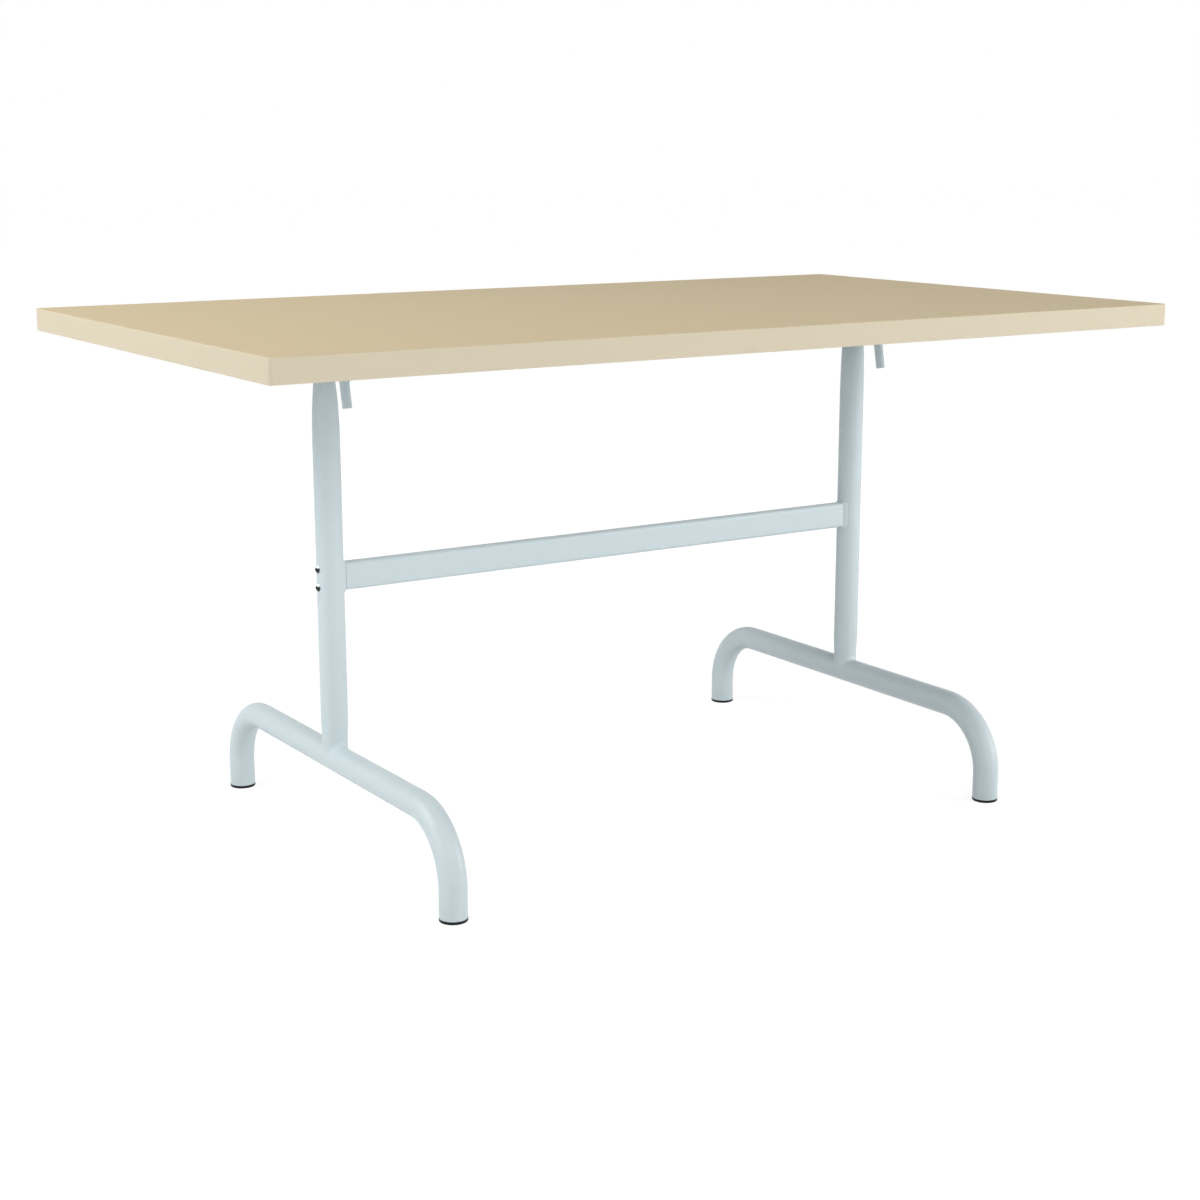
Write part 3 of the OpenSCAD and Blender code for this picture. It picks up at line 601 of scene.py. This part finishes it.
# A glide: a flange with a rounded lower edge and a shallow recess below, and a plug into the tube
def glide(name):
    clear_selection()
    bpy.ops.mesh.primitive_cylinder_add(
        vertices=ROUND_SIDES, radius=GLIDE_R, depth=GLIDE_H, location=(0, 0, GLIDE_H / 2)
    )
    cap = settle(name)
    pick("EDGE", lambda e: middle(e).z < NEAR and is_sharp(e))
    bpy.ops.mesh.bevel(offset=GLIDE_LOWER_EDGE, segments=4, affect="EDGES")
    pick("EDGE", lambda e: middle(e).z > GLIDE_H - NEAR and is_sharp(e))
    bpy.ops.mesh.bevel(offset=GLIDE_UPPER_EDGE, segments=2, affect="EDGES")
    pick("FACE", lambda f: f.normal.z < -SQUARE_ON)
    bpy.ops.mesh.inset(thickness=GLIDE_RECESS_RIM, depth=0)
    push(z=GLIDE_RECESS)
    pick("FACE", lambda f: f.normal.z > SQUARE_ON and middle(f).z > GLIDE_H - NEAR)
    bpy.ops.mesh.inset(thickness=GLIDE_SHOULDER, depth=0)
    push(z=GLIDE_PLUG)
    finish_mesh(cap)
    return cap


# A lever: a plain rod with its ends' edges broken
def lever(name, x):
    clear_selection()
    centre = (LEVER_TOP + LEVER_END) / 2
    bpy.ops.mesh.primitive_cylinder_add(
        vertices=ROD_SIDES, radius=LEVER_R, depth=(LEVER_TOP - LEVER_END).length,
        location=(x, centre.y, centre.z), rotation=(-LEVER_LEAN, 0, 0),
    )
    rod = settle(name)
    pick("EDGE", is_sharp)
    bpy.ops.mesh.bevel(offset=LEVER_END_EDGE, segments=3, affect="EDGES")
    finish_mesh(rod)
    return rod


# A latch spring: one leg under the rail's web, the turns round the hub, the other leg bent across the lever
def latch_spring(name, sign):
    path = [(SPRING_INWARD, back, RAIL_LEG_UP) for back in RAIL_LEG_BACK]
    steps = round(POINTS_PER_TURN * SPRING_TURNS)
    for step in range(steps + 1):
        turn = SPRING_TURNS * step / steps
        angle = SPRING_START - math.radians(360 * turn)
        inward = SPRING_INWARD + turn * SPRING_PITCH
        path.append((inward, SPRING_R * math.cos(angle), SPRING_R * math.sin(angle)))
    path.append((inward, LEVER_LEG_BACK, LEVER_LEG_BEND_UP))
    path.append((LEVER_LEG_END_INWARD, LEVER_LEG_BACK, LEVER_LEG_END_UP))
    points = [(sign * (COLUMN_X - inward), LATCH_Y + back, LATCH_Z + up) for inward, back, up in path]
    return wire_piece(name, points, WIRE_R)


# Edge wear: how fast it takes hold, and how fine and strong its patches are
WEAR_ONSET = 6.0
WEAR_PATCH_SCALE = 90.0
WEAR_PATCH_GAIN = 1.6

# Tone: how much finer than the drift the cloud in it is, and its share
CLOUD_SCALE = 12.0
CLOUD_SHARE = 0.35

# Roughness: how much coarser than the relief its changes are
ROUGHNESS_SCALE = 0.06

# Scratches: their fineness, level, strength and stretch, and the turns of the two sets
SCRATCH_SCALE = 90.0
SCRATCH_LEVEL = 0.68
SCRATCH_GAIN = 12.0
SCRATCH_STRETCH = (0.05, 1.0, 1.0)
SCRATCH_TURNS = ((0.2, 0.1, 0.3), (0.2, 0.1, 1.5))


# Node groups for the effects that more than one finish uses
def new_group(name, inputs, outputs):
    group = bpy.data.node_groups.new(name, "ShaderNodeTree")
    for label, kind, value in inputs:
        socket = group.interface.new_socket(name=label, in_out="INPUT", socket_type="NodeSocket" + kind)
        socket.default_value = value
    for label, kind in outputs:
        group.interface.new_socket(name=label, in_out="OUTPUT", socket_type="NodeSocket" + kind)
    return group, group.nodes.new("NodeGroupInput"), group.nodes.new("NodeGroupOutput")


def math_node(tree, operation, first, second=None, clamp=False):
    node = tree.nodes.new("ShaderNodeMath")
    node.operation = operation
    node.use_clamp = clamp
    for socket, value in zip(node.inputs, (first, second)):
        if hasattr(value, "links"):
            tree.links.new(value, socket)
        elif value is not None:
            socket.default_value = value
    return node.outputs[0]


def mix_colours(tree, factor, first, second):
    node = tree.nodes.new("ShaderNodeMix")
    node.data_type = "RGBA"
    for socket, value in ((node.inputs[0], factor), (node.inputs[6], first), (node.inputs[7], second)):
        if hasattr(value, "links"):
            tree.links.new(value, socket)
        else:
            socket.default_value = value
    return node.outputs[2]


def object_noise(tree, scale, detail=2.0, roughness=0.5):
    """Noise over the object's own coordinates."""
    place = tree.nodes.new("ShaderNodeTexCoord")
    node = tree.nodes.new("ShaderNodeTexNoise")
    tree.links.new(place.outputs["Object"], node.inputs["Vector"])
    if hasattr(scale, "links"):
        tree.links.new(scale, node.inputs["Scale"])
    else:
        node.inputs["Scale"].default_value = scale
    node.inputs["Detail"].default_value = detail
    node.inputs["Roughness"].default_value = roughness
    return node.outputs[0]


def make_edge_wear():
    """Edges and corners turn towards a worn colour, more in some places than in others."""
    group, given, result = new_group(
        "edge_wear",
        [("Colour", "Color", (0.5, 0.5, 0.5, 1)), ("Worn Colour", "Color", (0.8, 0.8, 0.8, 1)),
         ("Width", "Float", 1.0 * MM), ("Amount", "Float", 0.3)],
        [("Colour", "Color"), ("Mask", "Float")],
    )
    rounded = group.nodes.new("ShaderNodeBevel")
    rounded.samples = 4
    group.links.new(given.outputs["Width"], rounded.inputs["Radius"])
    surface = group.nodes.new("ShaderNodeNewGeometry")
    dot = group.nodes.new("ShaderNodeVectorMath")
    dot.operation = "DOT_PRODUCT"
    group.links.new(rounded.outputs[0], dot.inputs[0])
    group.links.new(surface.outputs["Normal"], dot.inputs[1])
    edge = math_node(group, "SUBTRACT", 1.0, dot.outputs["Value"], clamp=True)
    strong = math_node(group, "MULTIPLY", edge, WEAR_ONSET, clamp=True)
    patches = object_noise(group, WEAR_PATCH_SCALE, 3.0)
    patchy = math_node(group, "MULTIPLY", patches, WEAR_PATCH_GAIN, clamp=True)
    where = math_node(group, "MULTIPLY", strong, patchy)
    mask = math_node(group, "MULTIPLY", where, given.outputs["Amount"], clamp=True)
    colour = mix_colours(group, mask, given.outputs["Colour"], given.outputs["Worn Colour"])
    group.links.new(colour, result.inputs["Colour"])
    group.links.new(mask, result.inputs["Mask"])
    return group


def make_slow_tone():
    """A slow, slight drift of a colour over the piece, with a finer cloud in it."""
    group, given, result = new_group(
        "slow_tone",
        [("Colour", "Color", (0.5, 0.5, 0.5, 1)), ("Other Colour", "Color", (0.5, 0.5, 0.5, 1)),
         ("Scale", "Float", 3.0)],
        [("Colour", "Color")],
    )
    drift = object_noise(group, given.outputs["Scale"], 1.0)
    cloud = object_noise(group, math_node(group, "MULTIPLY", given.outputs["Scale"], CLOUD_SCALE), 3.0)
    drift_part = math_node(group, "MULTIPLY", drift, 1.0 - CLOUD_SHARE)
    cloud_part = math_node(group, "MULTIPLY", cloud, CLOUD_SHARE)
    both = math_node(group, "ADD", drift_part, cloud_part)
    colour = mix_colours(group, both, given.outputs["Colour"], given.outputs["Other Colour"])
    group.links.new(colour, result.inputs["Colour"])
    return group


def make_fine_relief():
    """The relief of a sprayed, moulded or rolled surface, and the roughness that goes with it."""
    group, given, result = new_group(
        "fine_relief",
        [("Scale", "Float", 800.0), ("Roughness", "Float", 0.4), ("Roughness Spread", "Float", 0.1)],
        [("Height", "Float"), ("Roughness", "Float")],
    )
    fine = object_noise(group, given.outputs["Scale"], 2.0, 0.6)
    broad = object_noise(group, math_node(group, "MULTIPLY", given.outputs["Scale"], ROUGHNESS_SCALE), 2.0)
    centred = math_node(group, "SUBTRACT", broad, 0.5)
    spread = math_node(group, "MULTIPLY", centred, given.outputs["Roughness Spread"])
    rough = math_node(group, "ADD", given.outputs["Roughness"], spread, clamp=True)
    group.links.new(fine, result.inputs["Height"])
    group.links.new(rough, result.inputs["Roughness"])
    return group


def make_light_scratches():
    """Short fine scratches in mixed directions, as a mask."""
    group, given, result = new_group(
        "light_scratches", [("Scale", "Float", 60.0), ("Amount", "Float", 0.3)], [("Mask", "Float")]
    )
    place = group.nodes.new("ShaderNodeTexCoord")
    masks = []
    for turn in SCRATCH_TURNS:
        mapping = group.nodes.new("ShaderNodeMapping")
        mapping.inputs["Rotation"].default_value = turn
        mapping.inputs["Scale"].default_value = SCRATCH_STRETCH
        group.links.new(place.outputs["Object"], mapping.inputs["Vector"])
        noise = group.nodes.new("ShaderNodeTexNoise")
        noise.inputs["Detail"].default_value = 1.0
        group.links.new(given.outputs["Scale"], noise.inputs["Scale"])
        group.links.new(mapping.outputs[0], noise.inputs["Vector"])
        thin = math_node(group, "SUBTRACT", noise.outputs[0], SCRATCH_LEVEL, clamp=True)
        masks.append(math_node(group, "MULTIPLY", thin, SCRATCH_GAIN, clamp=True))
    both = math_node(group, "MAXIMUM", masks[0], masks[1])
    group.links.new(math_node(group, "MULTIPLY", both, given.outputs["Amount"]), result.inputs["Mask"])
    return group


GROUPS = {
    "edge_wear": make_edge_wear(),
    "slow_tone": make_slow_tone(),
    "fine_relief": make_fine_relief(),
    "light_scratches": make_light_scratches(),
}


def paint(red, green, blue):
    """A colour given as a picture shows it, as the linear colour that a shader takes."""
    linear = [((value / 255 + 0.055) / 1.055) ** 2.4 for value in (red, green, blue)]
    return (*linear, 1.0)


def place_group(tree, name, **values):
    node = tree.nodes.new("ShaderNodeGroup")
    node.node_tree = GROUPS[name]
    for label, value in values.items():
        socket = node.inputs[label.replace("_", " ").title()]
        if hasattr(value, "links"):
            tree.links.new(value, socket)
        else:
            socket.default_value = value
    return node


def ramp(tree, value, low, high, first, last):
    """Goes smoothly from first to last while the value goes from low to high."""
    node = tree.nodes.new("ShaderNodeMapRange")
    node.interpolation_type = "SMOOTHSTEP"
    tree.links.new(value, node.inputs["Value"])
    for label, number in (("From Min", low), ("From Max", high), ("To Min", first), ("To Max", last)):
        node.inputs[label].default_value = number
    return node.outputs[0]


def faces_up(tree, low, high):
    """Rises from 0 to 1 while the upward part of the surface's direction goes from low to high. It masks the
    colour that some finishes paint on their upward faces as light and shade.
    """
    place = tree.nodes.new("ShaderNodeTexCoord")
    parts = tree.nodes.new("ShaderNodeSeparateXYZ")
    tree.links.new(place.outputs["Normal"], parts.inputs[0])
    return ramp(tree, parts.outputs["Z"], low, high, 0.0, 1.0)


def make_finish(
    name, colour, other, worn, metallic=0.0, rough=0.4, rough_spread=0.1, tone_scale=3.0,
    relief_scale=800.0, relief_depth=0.05 * MM, wear_width=1.0 * MM, wear=0.3, scratch=0.0, gloss=0.5,
    painted_light_colour=None, painted_light_range=(0.4, 1.0),
):
    """A finish: drifting colour, a colour painted on upward faces as light and shade where one is given,
    worn edges, fine relief, and scratches where they belong.
    """
    material = bpy.data.materials.new(name)
    material.use_nodes = True
    tree = material.node_tree
    shader = tree.nodes["Principled BSDF"]
    shader.inputs["Metallic"].default_value = metallic
    shader.inputs["Specular IOR Level"].default_value = gloss
    tone = place_group(tree, "slow_tone", colour=colour, other_colour=other, scale=tone_scale)
    ground = tone.outputs["Colour"]
    # Upward faces take a painted light colour: painted shade on the moulded top, a painted reflection and
    # highlight on the bolts
    if painted_light_colour:
        ground = mix_colours(tree, faces_up(tree, *painted_light_range), ground, painted_light_colour)
    edges = place_group(tree, "edge_wear", colour=ground, worn_colour=worn, width=wear_width, amount=wear)
    relief = place_group(
        tree, "fine_relief", scale=relief_scale, roughness=rough, roughness_spread=rough_spread
    )
    roughness = relief.outputs["Roughness"]
    if scratch:
        marks = place_group(tree, "light_scratches", scale=SCRATCH_SCALE, amount=scratch)
        roughness = math_node(tree, "ADD", roughness, marks.outputs["Mask"], clamp=True)
    bump = tree.nodes.new("ShaderNodeBump")
    bump.inputs["Strength"].default_value = 1.0
    bump.inputs["Distance"].default_value = relief_depth
    tree.links.new(relief.outputs["Height"], bump.inputs["Height"])
    tree.links.new(edges.outputs["Colour"], shader.inputs["Base Color"])
    tree.links.new(roughness, shader.inputs["Roughness"])
    tree.links.new(bump.outputs["Normal"], shader.inputs["Normal"])
    return material


# Each finish: its colour, a colour that it drifts to, the colour of its worn edges, and for some a colour
# painted on its upward faces as light and shade
FINISHES = {
    # The moulded top's upward faces are painted darker and yellower than its edges and sides: painted shade
    "top_skin": make_finish(
        "moulded_beige", paint(204, 195, 173), paint(200, 190, 167), paint(226, 216, 192),
        rough=0.55, rough_spread=0.08, tone_scale=2.2, relief_scale=1100.0, relief_depth=0.03 * MM,
        wear_width=1.5 * MM, wear=0.35, scratch=0.04, gloss=0.12, painted_light_colour=paint(209, 191, 153),
    ),
    "top_backing": make_finish(
        "backing_sheet", paint(214, 215, 214), paint(206, 207, 206), paint(224, 224, 222),
        rough=0.55, tone_scale=6.0, relief_scale=500.0, relief_depth=0.08 * MM, wear=0.15,
    ),
    "top_core": make_finish(
        "core_board", paint(176, 146, 104), paint(150, 118, 78), paint(190, 164, 122),
        rough=0.8, tone_scale=40.0, relief_scale=300.0, relief_depth=0.3 * MM, wear=0.1,
    ),
    "frame_paint": make_finish(
        "powder_coat", paint(194, 207, 210), paint(190, 203, 207), paint(222, 230, 232),
        rough=0.36, rough_spread=0.1, tone_scale=5.0, relief_scale=1300.0, relief_depth=0.035 * MM,
        wear_width=0.8 * MM, wear=0.4, scratch=0.03, gloss=0.3,
    ),
    # The bolts are painted dark all over and near white on their upward faces: a painted reflection of dark
    # below and bright above, with a painted highlight
    "bolt_steel": make_finish(
        "polished_bolt_painted_reflection", paint(52, 53, 56), paint(60, 61, 64), paint(150, 150, 152),
        metallic=1.0, rough=0.12, rough_spread=0.06, tone_scale=60.0, relief_scale=2500.0,
        relief_depth=0.004 * MM, wear_width=0.3 * MM, wear=0.2, scratch=0.08,
        painted_light_colour=paint(236, 238, 240), painted_light_range=(0.2, 0.6),
    ),
    "plated_steel": make_finish(
        "zinc_plated", paint(188, 190, 188), paint(172, 176, 180), paint(210, 210, 206),
        metallic=1.0, rough=0.34, rough_spread=0.2, tone_scale=70.0, relief_scale=1500.0,
        relief_depth=0.01 * MM, wear_width=0.5 * MM, wear=0.4, scratch=0.1,
    ),
    "insert_brass": make_finish(
        "turned_brass", paint(205, 172, 96), paint(190, 154, 80), paint(224, 198, 130),
        metallic=1.0, rough=0.3, tone_scale=60.0, relief_scale=1500.0, relief_depth=0.01 * MM,
        wear_width=0.5 * MM, wear=0.4,
    ),
    "black_plastic": make_finish(
        "glide_plastic", paint(12, 14, 15), paint(16, 18, 19), paint(48, 50, 52),
        rough=0.45, tone_scale=40.0, relief_scale=1800.0, relief_depth=0.02 * MM,
        wear_width=0.8 * MM, wear=0.2, gloss=0.2,
    ),
    "black_rubber": make_finish(
        "buffer_rubber", paint(28, 28, 29), paint(36, 36, 36), paint(60, 60, 58),
        rough=0.75, tone_scale=40.0, relief_scale=900.0, relief_depth=0.05 * MM,
        wear_width=0.8 * MM, wear=0.3,
    ),
}

# The finishes of the pieces that keep their CAD shape
NODE_FINISH = {
    "tabletop_core": "top_core",
    "tabletop_backing": "top_backing",
    "rail_screws": "plated_steel",
    "threaded_inserts": "insert_brass",
    "crossbar_bolts": "bolt_steel",
    "bolt_seat_washers": "bolt_steel",
    "left_catch_pin": "plated_steel",
    "right_catch_pin": "plated_steel",
    "left_stop_sleeves": "black_rubber",
    "right_stop_sleeves": "black_rubber",
    "left_fold_buffer": "black_rubber",
    "right_fold_buffer": "black_rubber",
    "left_pivot_bushes": "black_plastic",
    "right_pivot_bushes": "black_plastic",
    "left_pivot_bolt": "plated_steel",
    "right_pivot_bolt": "plated_steel",
    "pivot_washers": "plated_steel",
    "pivot_lock_nuts": "plated_steel",
    "left_latch_pin": "plated_steel",
    "right_latch_pin": "plated_steel",
    "latch_pin_clips": "plated_steel",
}


# The floor: its size and height, its glow beside the table and far from it, the distances between which
# the glow rises, and its grey as the lamps' light sees it and as it is seen
FLOOR_SIZE = 80
FLOOR_Z = -0.3 * MM
FLOOR_GLOW = (0.84, 0.95)
FLOOR_GLOW_REACH = (0.8, 2.2)
FLOOR_LIT = 0.86
FLOOR_SEEN = 0.28

# The world's light on the table. Seen directly it is white
WORLD_LIGHT = 0.175

# The lamps, all aimed at one point: their places, their sizes across and up, and their watts
LAMP_AIM = Vector((0, 0, 0.45))
LAMPS = {
    "high_side_softbox": ((-2.9, 0.9, 2.7), (2.0, 1.6), 75.0),
    "left_softbox": ((-3.4, -1.2, 1.5), (2.4, 1.6), 20.0),
    "right_softbox": ((3.2, -2.45, 1.2), (2.4, 2.0), 87.0),
    "ceiling_softbox": ((0.0, 0.3, 3.4), (3.0, 2.4), 4.5),
    "front_softbox": ((-0.4, -4.2, 2.6), (2.4, 1.6), 56.0),
    "low_front_softbox": ((-2.6, -5.4, 1.2), (3.4, 1.8), 48.0),
    "rear_left_softbox": ((-2.8, 1.8, 1.6), (1.8, 1.6), 10.0),
}


def seen_directly(tree):
    """1 for rays from the camera, from gloss and through glass, else 0."""
    path = tree.nodes.new("ShaderNodeLightPath")
    seen = math_node(tree, "ADD", path.outputs["Is Camera Ray"], path.outputs["Is Glossy Ray"])
    return math_node(tree, "ADD", seen, path.outputs["Is Transmission Ray"], clamp=True)


def grey(value):
    return (value, value, value, 1)


# A white floor that keeps the table's shadow
def studio_floor():
    clear_selection()
    bpy.ops.mesh.primitive_plane_add(size=FLOOR_SIZE, location=(0, 0, FLOOR_Z))
    floor = bpy.context.object
    floor.name = "studio_floor"
    bpy.ops.object.transform_apply(location=True)
    material = bpy.data.materials.new("studio_floor")
    material.use_nodes = True
    tree = material.node_tree
    shader = tree.nodes["Principled BSDF"]
    seen = seen_directly(tree)
    colour = mix_colours(tree, seen, grey(FLOOR_LIT), grey(FLOOR_SEEN))
    tree.links.new(colour, shader.inputs["Base Color"])
    shader.inputs["Roughness"].default_value = 0.9
    shader.inputs["Specular IOR Level"].default_value = 0.0
    shader.inputs["Emission Color"].default_value = grey(1)
    place = tree.nodes.new("ShaderNodeTexCoord")
    distance = tree.nodes.new("ShaderNodeVectorMath")
    distance.operation = "LENGTH"
    tree.links.new(place.outputs["Object"], distance.inputs[0])
    strength = ramp(tree, distance.outputs["Value"], *FLOOR_GLOW_REACH, *FLOOR_GLOW)
    glow = math_node(tree, "MULTIPLY", seen, strength)
    tree.links.new(glow, shader.inputs["Emission Strength"])
    floor.data.materials.append(material)


def studio_world():
    world = bpy.context.scene.world or bpy.data.worlds.new("studio_world")
    bpy.context.scene.world = world
    world.use_nodes = True
    tree = world.node_tree
    background = tree.nodes["Background"]
    background.inputs["Color"].default_value = grey(1)
    seen = math_node(tree, "MULTIPLY", seen_directly(tree), 1.0 - WORLD_LIGHT)
    tree.links.new(math_node(tree, "ADD", seen, WORLD_LIGHT), background.inputs["Strength"])


def studio_lamps():
    for name, (place, size, watts) in LAMPS.items():
        data = bpy.data.lights.new(name, "AREA")
        data.shape = "RECTANGLE"
        data.size, data.size_y = size
        data.energy = watts
        lamp = bpy.data.objects.new(name, data)
        lamp.location = place
        lamp.rotation_euler = (LAMP_AIM - lamp.location).to_track_quat("-Z", "Y").to_euler()
        bpy.context.scene.collection.objects.link(lamp)


# The left half of the frame is the right half turned about the upright axis
def build_frame():
    right_base = base_tube("right_base_bend", COLUMN_X)
    right_column = column("right_column_tube", COLUMN_X, right_base)
    left_column = copy_to(right_column, "left_column_tube", turn=math.pi)
    left_base = copy_to(right_base, "left_base_bend", turn=math.pi)
    for tube in (right_base, left_base, right_column, left_column):
        wall_tube(tube)
    for side, base, stem in (("right", right_base, right_column), ("left", left_base, left_column)):
        x = SIDES[side] * COLUMN_X
        dressed(base, "frame", side + "_base_tube", "frame_paint")
        dressed(stem, "frame", side + "_column", "frame_paint")
        dressed(column_weld(side + "_column_weld", x, base), "frame", None, "frame_paint")
        dressed(lever(side + "_lever_rod", x), side + "_latch", side + "_lever", "frame_paint")

    dressed(crossbar_tube(), "frame", "crossbar", "frame_paint")
    right_flange = right_crossbar_flange()
    left_flange = copy_to(right_flange, "left_crossbar_flange", turn=math.pi)
    dressed(right_flange, "frame", "right_crossbar_saddle", "frame_paint")
    dressed(left_flange, "frame", "left_crossbar_saddle", "frame_paint")

    first_glide = glide("front_left_glide_cap")
    places = {"front_left": (-1, -1), "back_left": (-1, 1), "front_right": (1, -1), "back_right": (1, 1)}
    for corner, (x, y) in places.items():
        cap = copy_to(first_glide, corner + "_glide_foot", move=(x * COLUMN_X, y * FOOT_Y, 0))
        dressed(cap, "frame", corner + "_glide", "black_plastic")
    bpy.data.objects.remove(first_glide)


# The latch springs, made as wires in place of the CAD springs
def build_springs():
    for side, sign in SIDES.items():
        spring = latch_spring(side + "_torsion_spring", sign)
        spring.data.materials.append(FINISHES["plated_steel"])
        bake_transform(spring)
        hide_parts(side + "_latch_spring")


def build_pressings():
    for kind, form in (("rail", "rail_pressing"), ("hook", "hook_plate"), ("catch_bracket", "catch_cheeks")):
        for side in SIDES:
            body = {"rail": "top", "hook": side + "_latch", "catch_bracket": "frame"}[kind]
            node = side + "_" + kind
            dressed(softened(node, side + "_" + form), body, node, "frame_paint")


def finish_cad_pieces():
    for name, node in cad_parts.items():
        if not node.hide_render:
            node.data.materials.clear()
            node.data.materials.append(FINISHES[NODE_FINISH[name]])


place_camera()
dressed(moulded_top(), "top", "tabletop_shell", "top_skin")
build_frame()
build_springs()
build_pressings()
finish_cad_pieces()
studio_floor()
studio_world()
studio_lamps()
bpy.context.scene.view_settings.view_transform = "Standard"
